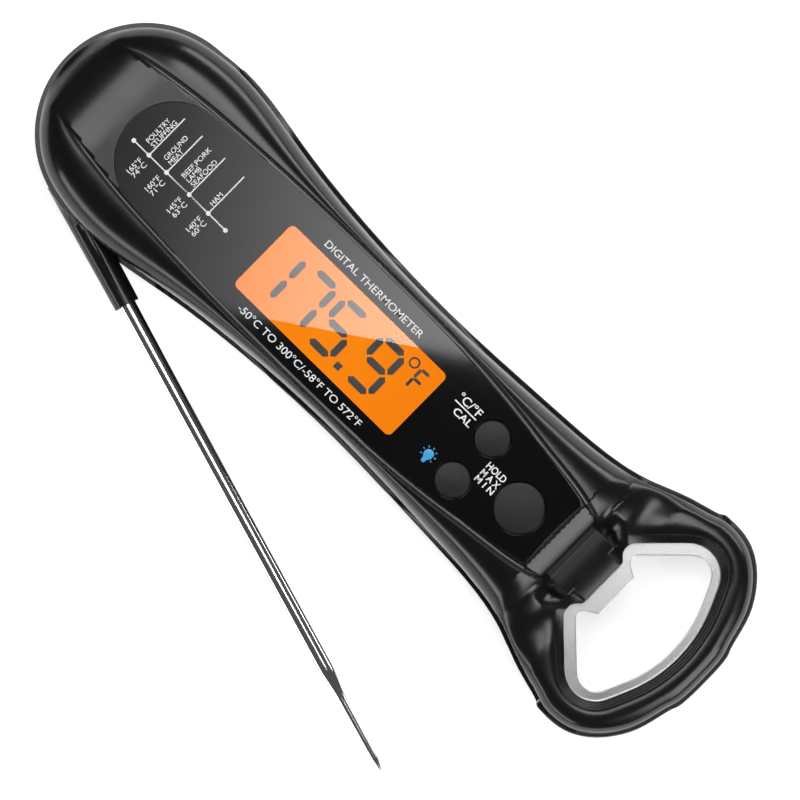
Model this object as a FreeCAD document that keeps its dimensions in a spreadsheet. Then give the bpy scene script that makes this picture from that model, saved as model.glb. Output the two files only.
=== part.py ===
"""Folding instant-read meat thermometer with a bottle opener in its tail ring.

It lies on its back: +Z is the front face's normal, the back face is z = 0, and the probe's hinge
axis is the line x = 0, y = 0.  +X runs along the handle, from the round head to the ring.
The probe parts are drawn folded, along +X at y = -probe_offset, and then turned to the rest angle.
"""
import FreeCAD, Part
import math
import os
import re

import Sketcher
from FreeCAD import Placement, Rotation, Vector

os.makedirs("parts", exist_ok=True)
doc = FreeCAD.newDocument("thermometer")
sheet = doc.addObject("Spreadsheet::Sheet", "Dimensions")

SIZES = {
    # body outline
    "head_radius": 20.9, "shoulder_x": 4.7, "shoulder_half": 21.5, "upper_x": 23.0, "upper_half": 19.15,
    "mid_x": 41.8, "mid_half": 16.9, "waist_x": 64.2, "waist_half": 16.0, "lower_x": 90.5,
    "lower_half": 17.0, "neck_x": 112.9, "neck_half": 19.9, "flare_x": 122.0, "flare_half": 23.25,
    "arm_x": 127.5, "arm_half": 24.95,
    "ring_x": 130.6, "ring_half": 25.4, "tail_x": 147.2, "blend_x": -4.0,
    # levels above the back face
    "thickness": 20.0, "floor_top": 2.0, "slot_low": 6.2, "split_level": 12.0, "panel_seat": 18.8,
    "panel_top": 19.8, "roof_low": 16.2, "ring_back": 3.5, "ring_front": 16.5, "plate_low": 10.0,
    "wall": 2.0, "front_inset": 0.8, "edge_reach": 2.6, "edge_rise": 3.2, "edge_chamfer": 0.25,
    "case_left": 24.4, "case_right": 106.8,
    # probe and hub
    "hub_low": 6.4, "hub_high": 11.8, "hub_bore": 5.55, "hub_inner_wall": 1.5, "hub_pocket": 15.6,
    "hub_skin": 1.2, "slot_radius": 21.2, "probe_offset": 18.6, "collar_radius": 2.5,
    "collar_root": 2.68, "collar_length": 26.4, "tube_radius": 1.75, "tube_wall": 0.3,
    "tube_start": 2.0, "taper_start": 104.7, "taper_end": 110.5, "tip_radius": 1.0,
    "tip_end_radius": 0.8, "point_start": 124.0, "probe_length": 127.0, "rest_opening": 16.9,
    "hub_seam": 9.1, "groove_end": 127.4, "groove_wall": 16.4,
    "collar_wall": 15.6, "lead_radius": 0.22, "lead_gap": 0.26,
    "bush_inner": 4.5, "bush_outer": 5.5, "bush_low": 5.6, "bush_high": 12.4,
    "pivot_boss": 2.8, "pivot_screw_radius": 1.25, "washer_inner": 8.0, "washer_outer": 12.0,
    "seal_ring": 14.5, "seal_section": 0.5,
    # bottle opener
    "opener_tooth_x": 124.0, "opener_tooth_half": 4.7, "opener_notch_x": 120.1,
    "opener_notch_half": 7.0, "opener_lean": 44.3, "opener_side_centre": 112.5,
    "opener_side_radius": 26.1, "opener_turn": 12.0, "opener_lip": 1.6, "tongue_x": 120.4,
    # panel, display and buttons
    "panel_left": -3.2, "panel_right": 107.1, "button_radius": 3.37, "hold_radius": 4.82,
    "button_travel": 0.5, "button_gap": 0.2, "button_top": 20.3, "button_foot": 15.6,
    "flange_step": 1.0, "flange_high": 0.5, "board_low": 12.2, "board_high": 13.8,
    "board_left": 29.0, "board_right": 106.2, "board_half": 10.0,
    "glass_low": 15.9, "glass_high": 18.7, "glass_left": 30.6, "glass_right": 73.6,
    "glass_half": 9.4, "display_y": -0.7,
    # battery
    "battery_x": 48.0, "cell_radius": 10.0, "cell_high": 3.2, "cell_low": 2.95,
    "door_radius": 12.0, "door_gap": 0.2, "door_low": 0.2, "door_step": 1.5, "spigot_radius": 10.3,
    "spigot_high": 2.9, "pot_radius": 12.6, "pot_bore": 10.6, "pot_high": 7.4, "pot_web": 0.8,
    "lug_reach": 12.9, "lug_width": 3.0, "lug_low": 0.9, "door_turn": 40.0,
    # fasteners and magnets
    "screw_radius": 1.0, "screw_head": 2.0, "screw_head_high": 1.4, "boss_radius": 2.6,
    "magnet_radius": 5.0, "magnet_high": 2.0, "magnet_skin": 0.8,
}

# each screw's x and y, the level of its head's face, and the level of its point
CASE_SCREWS = ((25.6, 9.4, 1.0, 15.4), (25.6, -9.4, 1.0, 15.4), (110.2, 5.4, 2.8, 15.4),
               (110.2, -5.4, 2.8, 15.4), (131.4, 21.6, 4.6, 14.8), (131.4, -21.6, 4.6, 14.8))
MAGNET_SPOTS = (28.4, 84.0)
BUTTON_SPOTS = {"units_button": (86.4, 4.7, "button_radius"),
                "backlight_button": (86.5, -5.98, "button_radius"),
                "hold_button": (99.0, -1.03, "hold_radius")}
BATTERY_LUGS = (0, 120, 240)

for row, (alias, number) in enumerate(SIZES.items(), start=1):
    sheet.set(f"A{row}", alias)
    sheet.set(f"B{row}", str(number))
    sheet.setAlias(f"B{row}", alias)
doc.recompute()

NODES = []


def size(alias):
    return float(sheet.get(alias))


def bind(thing, **expressions):
    """Ties an object's properties to sheet cells; a plain alias in the text stands for its cell."""
    for prop, text in expressions.items():
        linked = re.sub(r"[a-z]+(?:_[a-z]+)+|thickness|wall",
                        lambda word: "Dimensions." + word[0] if word[0] in SIZES else word[0], str(text))
        thing.setExpression(prop.replace("__", "."), linked)
    return thing


def at(thing, x="0", y="0", z="0"):
    return bind(thing, Placement__Base__x=x, Placement__Base__y=y, Placement__Base__z=z)


def cylinder(name, radius, height, x="0", y="0", z="0"):
    thing = doc.addObject("Part::Cylinder", name)
    return at(bind(thing, Radius=radius, Height=height), x, y, z)


def box(name, x, y, z, length, width, height):
    """A block from its lowest corner."""
    thing = doc.addObject("Part::Box", name)
    return at(bind(thing, Length=length, Width=width, Height=height), x, y, z)


def cut(name, base, tool):
    thing = doc.addObject("Part::Cut", name)
    thing.Base, thing.Tool = base, tool
    return thing


def fuse(name, *things):
    thing = doc.addObject("Part::MultiFuse", name)
    thing.Shapes = list(things)
    return thing


def group(name, *things):
    """Separate solids kept apart in one node."""
    thing = doc.addObject("Part::Compound", name)
    thing.Links = list(things)
    return thing


def shaped(name, shape):
    thing = doc.addObject("Part::Feature", name)
    thing.Shape = shape
    thing.Placement = Placement()
    return thing


def node(label, thing):
    """Makes an object a sub-part: its label names its file."""
    thing.Label = label
    NODES.append(thing)
    return thing


def on_probe(thing):
    """Turns a folded probe part to its rest angle about the hinge axis."""
    thing.Placement.Rotation = Rotation(Vector(0, 0, 1), -size("rest_opening"))
    bind(thing, Placement__Rotation__Angle="-rest_opening")
    return thing


# ---------------------------------------------------------------- outlines

def spline(points, start=None, end=None):
    curve = Part.BSplineCurve()
    if start is None:
        curve.interpolate(points)
    else:
        curve.interpolate(Points=points, InitialTangent=start, FinalTangent=end)
    return curve.toShape()


def mirrored(edge):
    return edge.mirror(Vector(0, 0, 0), Vector(0, 1, 0))


RING_END = ((135.2, 24.65), (139.0, 22.4), (142.4, 18.6), (144.7, 14.0), (146.2, 8.2))


def ring_end(inset, level):
    """The points round the tail, each drawn in square to the line through its neighbours."""
    points = [Vector(size("ring_x"), size("ring_half"), level)]
    points += [Vector(x, half, level) for x, half in RING_END]
    points.append(Vector(size("tail_x"), 0, level))
    moved = [points[0] - Vector(0, inset, 0)]
    for before, point, after in zip(points, points[1:], points[2:]):
        run = (after - before).normalize()
        moved.append(point + Vector(run.y, -run.x, 0) * inset)
    return moved + [points[-1] - Vector(inset, 0, 0)]


def outline(inset, level):
    """The body's closed outline, drawn in by inset, at one level."""
    radius = size("head_radius") - inset
    blend = Vector(size("blend_x"), math.sqrt(radius**2 - size("blend_x")**2), level)
    names = ("shoulder", "upper", "mid", "waist", "lower", "neck", "flare", "arm", "ring")
    side = [Vector(size(n + "_x"), size(n + "_half") - inset, level) for n in names]
    along_circle = Vector(blend.y, -blend.x, 0).normalize()
    side_edge = spline([blend] + side, along_circle, Vector(1, 0, 0))
    end_edge = spline(ring_end(inset, level), Vector(1, 0, 0), Vector(0, -1, 0))
    below = Vector(blend.x, -blend.y, level)
    head = Part.Arc(below, Vector(-radius, 0, level), blend).toShape()
    return Part.Wire([head, side_edge, end_edge, mirrored(end_edge), mirrored(side_edge)])


def stacked(layers):
    """A solid through outlines given as (inset, level) from the bottom up."""
    return Part.makeLoft([outline(inset, level) for inset, level in layers], True, True)


def round_based(level, top):
    """A solid of the body's outline with a rounded lower edge and a small chamfer at its top."""
    reach, rise, chamfer = size("edge_reach"), size("edge_rise"), size("edge_chamfer")
    turns = [math.radians(15 * i) for i in range(7)]
    layers = [(reach * (1 - math.sin(turn)), level + rise * (1 - math.cos(turn))) for turn in turns]
    return stacked(layers + [(0, top - chamfer), (chamfer, top)])


def rounded(points, radii):
    """A closed wire of straight runs with its corners rounded by arcs."""
    corners = []
    for i, point in enumerate(points):
        before, after = points[i - 1], points[(i + 1) % len(points)]
        to_before = (before - point).normalize()
        to_after = (after - point).normalize()
        half_angle = to_before.getAngle(to_after) / 2
        reach = radii[i] / math.tan(half_angle)
        middle = (to_before + to_after).normalize() * (radii[i] / math.sin(half_angle) - radii[i])
        corners.append((point + to_before * reach, point + middle, point + to_after * reach))
    edges = []
    for i, (start, middle, end) in enumerate(corners):
        edges.append(Part.Arc(start, middle, end).toShape())
        edges.append(Part.makeLine(end, corners[(i + 1) % len(corners)][0]))
    return Part.Wire(edges)


def opening(grow, level, tooth):
    """The opener's hole, grown by grow at its round side and half as much again at its arms.

    tooth is how far the edge that lifts a cap stands back from its working place.
    """
    lean, turn = math.radians(size("opener_lean")), math.radians(size("opener_turn"))
    along_arm = Vector(math.cos(lean), math.sin(lean), 0)
    start = Vector(size("opener_notch_x"), size("opener_notch_half"), level)
    start += Vector(-along_arm.y, along_arm.x, 0) * 1.5 * grow
    step_back = size("opener_notch_x") - 1.7 * grow - start.x
    notch = start + along_arm * (step_back / along_arm.x)
    radius = size("opener_side_radius") + grow
    side = Vector(size("opener_side_centre") + radius, radius * math.tan(turn), level)
    along_side = Vector(-math.sin(2 * turn), math.cos(2 * turn), 0)
    reach = (side - notch).cross(along_side).z / along_arm.cross(along_side).z
    apex = notch + along_arm * reach
    edge = Vector(size("opener_tooth_x") - tooth, size("opener_tooth_half") + 0.18 * tooth, level)
    top = [edge, notch, apex, side]
    low = [Vector(p.x, -p.y, p.z) for p in reversed(top)]
    radii = [0.7, 1.6 + 0.56 * grow, 3.8 + 1.29 * grow, 0.99 * radius]
    return rounded(top + low, radii + radii[::-1])


def prism(wire, height):
    return Part.Face(wire).extrude(Vector(0, 0, height))


def side_profile(points):
    """A slab across the whole width whose side view is the closed outline through the points."""
    width = 2 * size("ring_half") + 4
    wire = Part.makePolygon([Vector(x, -width / 2, z) for x, z in points + points[:1]])
    return Part.Face(wire).extrude(Vector(0, width, 0))


def bulged(left, right, stations, level, height, corner):
    """A plate with curved long sides through the stations (x, half width) and a round left end."""
    top = [Vector(x, half, level) for x, half in stations]
    upper = spline(top)
    left_end = Part.Arc(Vector(top[0].x, -top[0].y, level), Vector(left, 0, level), top[0]).toShape()
    last = top[-1]
    corner_top = Vector(right, last.y - corner, level)
    bow = Vector(right - 0.35, 0, level)
    middle = Vector(right - 0.3 * corner, last.y - 0.3 * corner, level)
    top_corner = Part.Arc(last, middle, corner_top).toShape()
    end = Part.Arc(corner_top, bow, Vector(right, -corner_top.y, level)).toShape()
    wire = Part.Wire([left_end, upper, top_corner, end, mirrored(top_corner), mirrored(upper)])
    return prism(wire, height)


PANEL_SIDES = ((6.2, 11.05), (19.3, 12.1), (38.0, 12.8), (57.0, 12.8), (72.0, 12.4), (86.7, 11.05),
               (99.8, 9.2), (105.5, 8.15))
ISLAND_SIDES = ((-9.0, 10.0), (0.6, 11.6), (19.3, 12.9), (42.0, 13.5), (57.0, 13.5), (72.0, 13.2),
                (83.0, 12.3), (94.0, 10.9), (108.0, 8.6))


def panel_plate(level, height, grow=0.0):
    stations = [(x, half + grow) for x, half in PANEL_SIDES]
    return bulged(size("panel_left") - grow, size("panel_right") + grow, stations, level, height, 1.6)


def island_plate(level, height):
    return bulged(-13.5, 112.4, list(ISLAND_SIDES), level, height, 3.0)


# ---------------------------------------------------------------- shell parts

def display_window(grow):
    return Part.makeBox(size("glass_right") - size("glass_left") + 2 * grow, 2 * (size("glass_half") + grow),
                        size("thickness"),
                        Vector(size("glass_left") - grow, size("display_y") - size("glass_half") - grow, 14))


def upright(radius, low, high, x=0.0, y=0.0):
    return Part.makeCylinder(radius, high - low, Vector(x, y, low))


def front_cover():
    split, seat, roof = size("split_level"), size("panel_seat"), size("roof_low")
    inset = size("front_inset")
    dome = stacked([(inset, split), (inset + 0.5, 14.4), (inset + 2.2, 16.4), (inset + 5.0, 17.8),
                    (inset + 7.0, 18.2)])
    body = dome.fuse(island_plate(17.0, size("thickness") - 17.0))
    body = body.common(side_profile([
        (-22, split), (-22, 13.6), (-19.6, 15.6), (-16, 17.5), (-11, 18.9), (-5, 19.8), (-2, 20),
        (107.3, 20), (112.4, 17.6), (114, size("ring_front")), (149, size("ring_front")), (149, split)]))
    tongue_step = Part.makeBox(9.0, 13.4, 4, Vector(112.4, -6.7, 15.4))
    body = body.cut(tongue_step)
    hole = [opening(grow, level, size("opener_tooth_x") - size("tongue_x"))
            for grow, level in ((1.6, split - 1), (1.6, 14.0), (2.6, 15.4), (4.6, 17.0))]
    body = body.cut(Part.makeLoft(hole, True, True))
    body = body.cut(panel_plate(seat, 3.0, 0.05))
    left = size("case_left")
    inner = Part.makeBox(size("case_right") - left, 23.0, roof - split, Vector(left, -11.5, split))
    duct = Part.makeBox(36.0, 16.0, roof - 13.6, Vector(-8.0, -8.0, 13.6))
    body = body.cut(inner).cut(duct).cut(display_window(0.15))
    for x, y, radius in BUTTON_SPOTS.values():
        body = body.cut(upright(size(radius) + size("button_gap"), 14, 21, x, y))
    body = body.fuse(upright(size("pivot_boss"), split, roof + 0.5))
    for x, y, _, point in CASE_SCREWS:
        if x < size("case_right"):
            body = body.fuse(upright(size("boss_radius"), split, roof + 0.5, x, y))
        body = body.cut(upright(size("screw_radius"), split - 1, point + 0.2, x, y))
    body = body.cut(upright(size("pivot_screw_radius"), split - 1, seat + 1))
    body = body.cut(upright(2.6, seat - 1.6, seat + 1))
    ring_hole = upright(size("bush_outer"), split - 1, 13.6).cut(upright(size("pivot_boss"), 10, 14))
    body = body.cut(ring_hole)
    seal = Part.makeTorus(size("seal_ring"), size("seal_section"), Vector(0, 0, split + 0.3))
    return body.cut(seal).cut(case_gasket()).removeSplitter()


def swept_slot():
    """The space of the hub and of the probe's collar over the whole fold, open to the outside."""
    low, high = size("slot_low"), size("split_level") + 1
    slot = upright(size("slot_radius"), low, high)
    head_side = Part.makeBox(40 + size("shoulder_x"), 60, high - low, Vector(-40, 0, low))
    below = Part.makeBox(40 + size("groove_end"), 40, high - low,
                         Vector(-40, -40 - size("groove_wall"), low))
    collar_way = Part.makeBox(40 + size("collar_length") + 1, 40, high - low,
                              Vector(-40, -40 - size("collar_wall"), low))
    left = Part.makeBox(40, 60, high - low, Vector(-40, -50, low))
    centre = upright(size("slot_radius"), low - 1, high + 1)
    outside = head_side.cut(centre).fuse(left.cut(centre)).fuse(below).fuse(collar_way)
    return slot.fuse(outside)


def bayonet_sector(low, high, angle, width, reach):
    wedge = Part.makeBox(reach, width, high - low, Vector(0, -width / 2, low))
    wedge.rotate(Vector(0, 0, 0), Vector(0, 0, 1), angle)
    wedge.translate(Vector(size("battery_x"), 0, 0))
    return wedge.common(upright(reach, low, high, size("battery_x")))


def rear_cover():
    floor, split, low = size("floor_top"), size("split_level"), size("slot_low")
    back = size("ring_back")
    body = round_based(0, split).common(side_profile([
        (-22, 0), (104, 0), (107, 0.5), (110, 1.6), (113, 2.8), (116, back), (116, split), (-22, split)]))
    body = body.fuse(round_based(back, split).common(side_profile([
        (108, back), (149, back), (149, split), (108, split)])))
    hole = [opening(grow, level, size("opener_tooth_x") - size("tongue_x"))
            for grow, level in ((4.2, 3.0), (2.6, 5.0), (1.6, 6.4), (1.6, split + 1))]
    body = body.cut(Part.makeLoft(hole, True, True))
    left = size("case_left")
    inner = Part.makeBox(size("case_right") - left, 25.0, split - floor, Vector(left, -12.5, floor))
    trimmed = inner.common(stacked([(size("wall"), floor - 1), (size("wall"), split + 1)]))
    body = body.cut(trimmed)
    body = body.cut(swept_slot())
    x = size("battery_x")
    body = body.fuse(upright(size("pot_radius"), floor - 0.5, size("pot_high"), x))
    body = body.cut(upright(size("door_radius") + size("door_gap"), -1, floor, x))
    body = body.cut(upright(size("pot_bore"), floor - 0.5, size("pot_high") - size("pot_web"), x))
    body = body.cut(upright(size("lug_reach") + size("door_gap"), size("lug_low") - 0.15,
                            size("door_step") + 0.15, x))
    for angle in BATTERY_LUGS:
        body = body.cut(bayonet_sector(-1, size("lug_low"), angle - size("door_turn"),
                                       size("lug_width") + 0.6, size("lug_reach") + size("door_gap")))
    for side in (-1, 1):
        body = body.cut(Part.makeBox(1.2, 3.4, 3.0, Vector(x - 0.6, side * 8.6 - 1.7, 6.0)))
    for sx, sy, seat, _ in CASE_SCREWS:
        if sx < size("case_right"):
            body = body.fuse(upright(size("boss_radius"), floor - 0.5, split, sx, sy))
        body = body.cut(upright(size("screw_head") + 0.2, -1, seat + size("screw_head_high"), sx, sy))
        body = body.cut(upright(size("screw_radius") + 0.15, seat, split + 1, sx, sy))
    for spot in MAGNET_SPOTS:
        body = body.cut(upright(size("magnet_radius"), size("magnet_skin"), floor + 1, spot))
    body = body.fuse(upright(size("pivot_boss"), low - 1, split))
    body = body.cut(upright(size("pivot_screw_radius"), 4.0, split + 1))
    bush_seat = upright(size("bush_outer"), size("bush_low"), low + 1).cut(upright(size("pivot_boss"), 4, 9))
    body = body.cut(bush_seat)
    seal = Part.makeTorus(size("seal_ring"), size("seal_section"), Vector(0, 0, low - 0.35))
    body = body.cut(seal)
    plate_seat = prism(opening(size("opener_lip") * 1.5, size("plate_low"), 7.4), 4)
    return body.cut(plate_seat).removeSplitter()


def bottle_opener():
    low, high = size("plate_low"), size("split_level")
    plate = prism(opening(size("opener_lip") * 1.5 - 0.05, low, 7.3), high - low)
    hole = prism(opening(0, low - 1, 0), high - low + 2)
    return plate.cut(hole)


def case_gasket():
    """A thin seal laid in the joint between the covers around the electronics."""
    loops = []
    for grow, corner in ((1.4, 2.0), (0.6, 1.2)):
        left, right = size("case_left") - grow, size("case_right") + grow
        half = 12.5 + grow
        loops.append(rounded([Vector(x, y, size("split_level")) for x, y in
                              ((left, half), (left, -half), (right, -half), (right, half))], [corner] * 4))
    return prism(loops[0], 0.4).cut(prism(loops[1], 0.4))


node("front_cover", shaped("FrontShell", front_cover()))
node("rear_cover", shaped("RearShell", rear_cover()))
node("bottle_opener", shaped("OpenerPlate", bottle_opener()))
panel = panel_plate(size("panel_seat"), size("panel_top") - size("panel_seat"))
for spot_x, spot_y, spot_radius in BUTTON_SPOTS.values():
    panel = panel.cut(upright(size(spot_radius) + size("button_gap"), 14, 21, spot_x, spot_y))
node("display_panel", shaped("PanelPlate", panel))


# ---------------------------------------------------------------- probe and hub

def in_hub(name, thing_low, thing_high):
    """One half shell of the rotor, with its half of the collar and the tube's bed."""
    low, high = size(thing_low), size(thing_high)
    middle = size("hub_seam")
    offset = -size("probe_offset")
    disc = upright(size("head_radius"), low, high)
    collar = Part.makeCone(size("collar_root"), size("collar_radius"), size("collar_length"),
                           Vector(0, offset, middle), Vector(1, 0, 0))
    slab = Part.makeBox(120, 120, high - low, Vector(-60, -60, low))
    half = disc.fuse(collar.common(slab))
    skin = size("hub_skin")
    inner_wall = size("hub_bore") + size("hub_inner_wall")
    pocket_low, pocket_high = max(low, size("hub_low") + skin), min(high, size("hub_high") - skin)
    pocket = upright(size("hub_pocket"), pocket_low, pocket_high)
    pocket = pocket.cut(upright(inner_wall, pocket_low - 1, pocket_high + 1))
    window = Part.makeBox(9, 3, pocket_high - pocket_low, Vector(3, -1.5, pocket_low))
    half = half.cut(pocket).cut(window).cut(upright(size("hub_bore"), low - 1, high + 1))
    bed = Part.makeCylinder(size("tube_radius"), 40, Vector(size("tube_start"), offset, middle),
                            Vector(1, 0, 0))
    lead_way = Part.makeCylinder(0.9, 6, Vector(size("tube_start") - 5.5, offset, middle), Vector(1, 0, 0))
    way_in = Part.makeBox(1.8, 6, 1.8, Vector(size("tube_start") - 5.5, offset, middle - 0.9))
    half = half.cut(bed).cut(lead_way).cut(way_in)
    magnet = upright(1.5, middle - 1.0, middle + 1.0, 18.2, 0)
    return shaped(name, half.cut(magnet).removeSplitter())


def probe_tube():
    """A drawn tube with a reduced tip and a closed point, revolved about its own axis."""
    wall = size("tube_wall")
    big, small, end = size("tube_radius"), size("tip_radius"), size("tip_end_radius")
    start, point, tip = size("tube_start"), size("point_start"), size("probe_length")
    bore_end = point - 0.5
    outer = [(start, big), (size("taper_start"), big), (size("taper_end"), small), (point, end),
             (tip - 0.25, 0.22), (tip, 0.0)]
    inner = [(bore_end, 0.0), (bore_end, end - wall + 0.02), (size("taper_end"), small - wall),
             (size("taper_start"), big - wall), (start, big - wall)]
    level = size("hub_seam")
    points = [Vector(x, r - size("probe_offset"), level) for x, r in outer + inner]
    face = Part.Face(Part.makePolygon(points + points[:1]))
    axis = Vector(0, -size("probe_offset"), level)
    return shaped("ProbeTube", face.revolve(axis, Vector(1, 0, 0), 360))


def lead(path_points, radius, bend):
    """A wire of straight runs joined by arcs of one bend radius."""
    edges, start = [], path_points[0]
    for before, corner, after in zip(path_points, path_points[1:], path_points[2:]):
        back, on = (before - corner).normalize(), (after - corner).normalize()
        half_angle = back.getAngle(on) / 2
        reach = bend / math.tan(half_angle)
        middle = corner + (back + on).normalize() * (bend / math.sin(half_angle) - bend)
        edges.append(Part.makeLine(start, corner + back * reach))
        edges.append(Part.Arc(corner + back * reach, middle, corner + on * reach).toShape())
        start = corner + on * reach
    edges.append(Part.makeLine(start, path_points[-1]))
    path = Part.Wire(edges)
    direction = path_points[1] - path_points[0]
    section = Part.Wire(Part.makeCircle(radius, path_points[0], direction))
    return path.makePipeShell([section], True, True)


def sensor_leads():
    level = size("hub_seam")
    offset = -size("probe_offset")
    wires = []
    for side in (-1, 1):
        z = level + side * size("lead_gap")
        wires.append(lead([Vector(size("point_start") - 2.2, offset, z), Vector(-2.6, offset, z),
                           Vector(-2.6, -10.0, z), Vector(2.0, -10.0, z)], size("lead_radius"), 0.8))
    return shaped("SensorLeads", Part.makeCompound(wires))


def board_leads():
    wires = []
    for side in (-1, 1):
        y = side * 0.6
        wires.append(lead([Vector(3.6, y, 8.0), Vector(3.6, y, 14.15), Vector(30.0, y, 14.15)], 0.3, 1.2))
    return shaped("BoardLeads", Part.makeCompound(wires))


node("hub_lower", on_probe(in_hub("HubLower", "hub_low", "hub_seam")))
node("hub_upper", on_probe(in_hub("HubUpper", "hub_seam", "hub_high")))
node("probe_tube", on_probe(probe_tube()))
node("sensor_leads", on_probe(sensor_leads()))
bead = cylinder("Bead", "tip_end_radius - tube_wall - lead_gap / 2", "1.4",
                "point_start - 2.1", "-probe_offset", "hub_seam")
bead.Placement.Rotation = Rotation(Vector(0, 1, 0), 90)
node("sensor_bead", on_probe(group("SensorBead", bead)))
magnet = cylinder("HubMagnetDisc", "1.5", "2", "18.2", "0", "hub_seam - 1")
node("hub_magnet", on_probe(group("HubMagnet", magnet)))
node("board_leads", board_leads())


def ring(name, outer, inner, height, x="0", y="0", z="0"):
    return cut(name, cylinder(name + "Rim", outer, height, x, y, z),
               cylinder(name + "Bore", inner, height + " + 2", x, y, z + " - 1"))


bush = ring("Bush", "bush_outer", "bush_inner", "bush_high - bush_low", z="bush_low")
window = box("BushWindow", "3", "-1.5", "hub_low + hub_skin", "4", "3", "hub_high - hub_low - 2 * hub_skin")
node("pivot_bush", cut("PivotBush", bush, window))
shank = cylinder("PivotShank", "pivot_screw_radius", "panel_seat - 6.0", z="4.8")
pan = cylinder("PivotPan", "2.5", "1.2", z="panel_seat - 1.5")
node("pivot_screw", fuse("PivotScrew", shank, pan))
node("friction_washer", ring("FrictionWasher", "washer_outer", "washer_inner", "0.14", z="split_level - 0.14"))


def o_ring(name, z):
    thing = doc.addObject("Part::Torus", name)
    return at(bind(thing, Radius1="seal_ring", Radius2="seal_section"), z=z)


node("hub_seals", group("HubSeals", o_ring("LowSeal", "slot_low - 0.35"), o_ring("HighSeal", "split_level + 0.3")))


# ---------------------------------------------------------------- display and electronics

def origin_plane(body, role):
    return next(feature for feature in body.Origin.OriginFeatures if feature.Role == role)


def sketch_on(body, name, level):
    drawing = body.newObject("Sketcher::SketchObject", name)
    drawing.AttachmentSupport = [(origin_plane(body, "XY_Plane"), "")]
    drawing.MapMode = "FlatFace"
    return bind(drawing, AttachmentOffset__Base__z=level)


def limit(drawing, kind, *geometry, cell):
    """Adds a distance or radius constraint and ties it to a cell."""
    number = drawing.addConstraint(Sketcher.Constraint(kind, *geometry, 1.0))
    bind(drawing, **{f"Constraints[{number}]": cell})


def rectangle(drawing, left, low, right, high):
    """Four lines held by the distances of two corners from the origin."""
    corners = [Vector(0, 0, 0), Vector(9, 0, 0), Vector(9, 9, 0), Vector(0, 9, 0)]
    sides = [drawing.addGeometry(Part.LineSegment(a, b), False)
             for a, b in zip(corners, corners[1:] + corners[:1])]
    for one, following in zip(sides, sides[1:] + sides[:1]):
        drawing.addConstraint(Sketcher.Constraint("Coincident", one, 2, following, 1))
    for side, kind in zip(sides, ("Horizontal", "Vertical") * 2):
        drawing.addConstraint(Sketcher.Constraint(kind, side))
    for kind, corner, cell in (("DistanceX", 0, left), ("DistanceY", 0, low),
                               ("DistanceX", 2, right), ("DistanceY", 2, high)):
        limit(drawing, kind, -1, 1, sides[corner], 1, cell=cell)


def circle(drawing, x, y, radius):
    rim = drawing.addGeometry(Part.Circle(Vector(1, 1, 0), Vector(0, 0, 1), 1), False)
    limit(drawing, "DistanceX", -1, 1, rim, 3, cell=x)
    limit(drawing, "DistanceY", -1, 1, rim, 3, cell=y)
    limit(drawing, "Radius", rim, cell=radius)


def pad(body, drawing, name, length):
    feature = body.newObject("PartDesign::Pad", name)
    feature.Profile = drawing
    return bind(feature, Length=length)


def plate(name, level, thickness, left, low, right, high, holes=()):
    """A rectangular body with round holes through it."""
    body = doc.addObject("PartDesign::Body", name)
    drawing = sketch_on(body, name + "Outline", level)
    rectangle(drawing, left, low, right, high)
    for x, y, radius in holes:
        circle(drawing, x, y, radius)
    pad(body, drawing, name + "Pad", thickness)
    return body


node("circuit_board", plate("CircuitBoard", "board_low", "board_high - board_low", "board_left",
                            "-board_half", "board_right", "board_half",
                            [("board_left + 3", "8", "0.8"), ("board_right - 1.6", "-8", "0.8")]))
node("lcd_glass", plate("LcdGlass", "glass_low", "glass_high - glass_low", "glass_left",
                        "display_y - glass_half", "glass_right", "display_y + glass_half"))
node("backlight_panel", plate("BacklightPanel", "board_high + 0.9", "glass_low - board_high - 1",
                              "glass_left + 1.2", "display_y - 6.8", "glass_right - 1.2", "display_y + 6.8"))
frame_outer = box("HolderOuter", "glass_left - 0.5", "display_y - 9.1", "board_high", "glass_right - glass_left + 1",
                  "18.2", "glass_low - board_high - 0.1")
frame_inner = box("HolderInner", "glass_left + 1", "display_y - 7", "board_high - 1",
                  "glass_right - glass_left - 2", "14", "6")
strip_spaces = [box(f"StripSpace{i}", "glass_left + 1", f"display_y + {y}", "board_high - 1",
                    "glass_right - glass_left - 2", "1.1", "6") for i, y in enumerate(("7.4", "-8.5"))]
node("lcd_holder", cut("LcdHolder", frame_outer, fuse("HolderSpaces", frame_inner, *strip_spaces)))
strips = [box(f"Strip{i}", "glass_left + 2", f"display_y + {y}", "board_high",
              "glass_right - glass_left - 4", "0.9", "glass_low - board_high")
          for i, y in enumerate(("7.5", "-8.4"))]
node("zebra_strips", group("ZebraStrips", *strips))
node("backlight_leds", group("BacklightLeds", *[
    box(f"Led{i}", "glass_left + 1.3", f"display_y + {y}", "board_high", "1.6", "0.8", "0.6")
    for i, y in enumerate(("3.6", "-4.4"))]))
node("controller_chip", box("ControllerChip", "66", "-4", "board_low - 1.1", "8", "8", "1.1"))
node("reed_switch", box("ReedSwitch", "board_left + 0.6", "-5", "board_low - 1.2", "1.8", "10", "1.2"))

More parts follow.
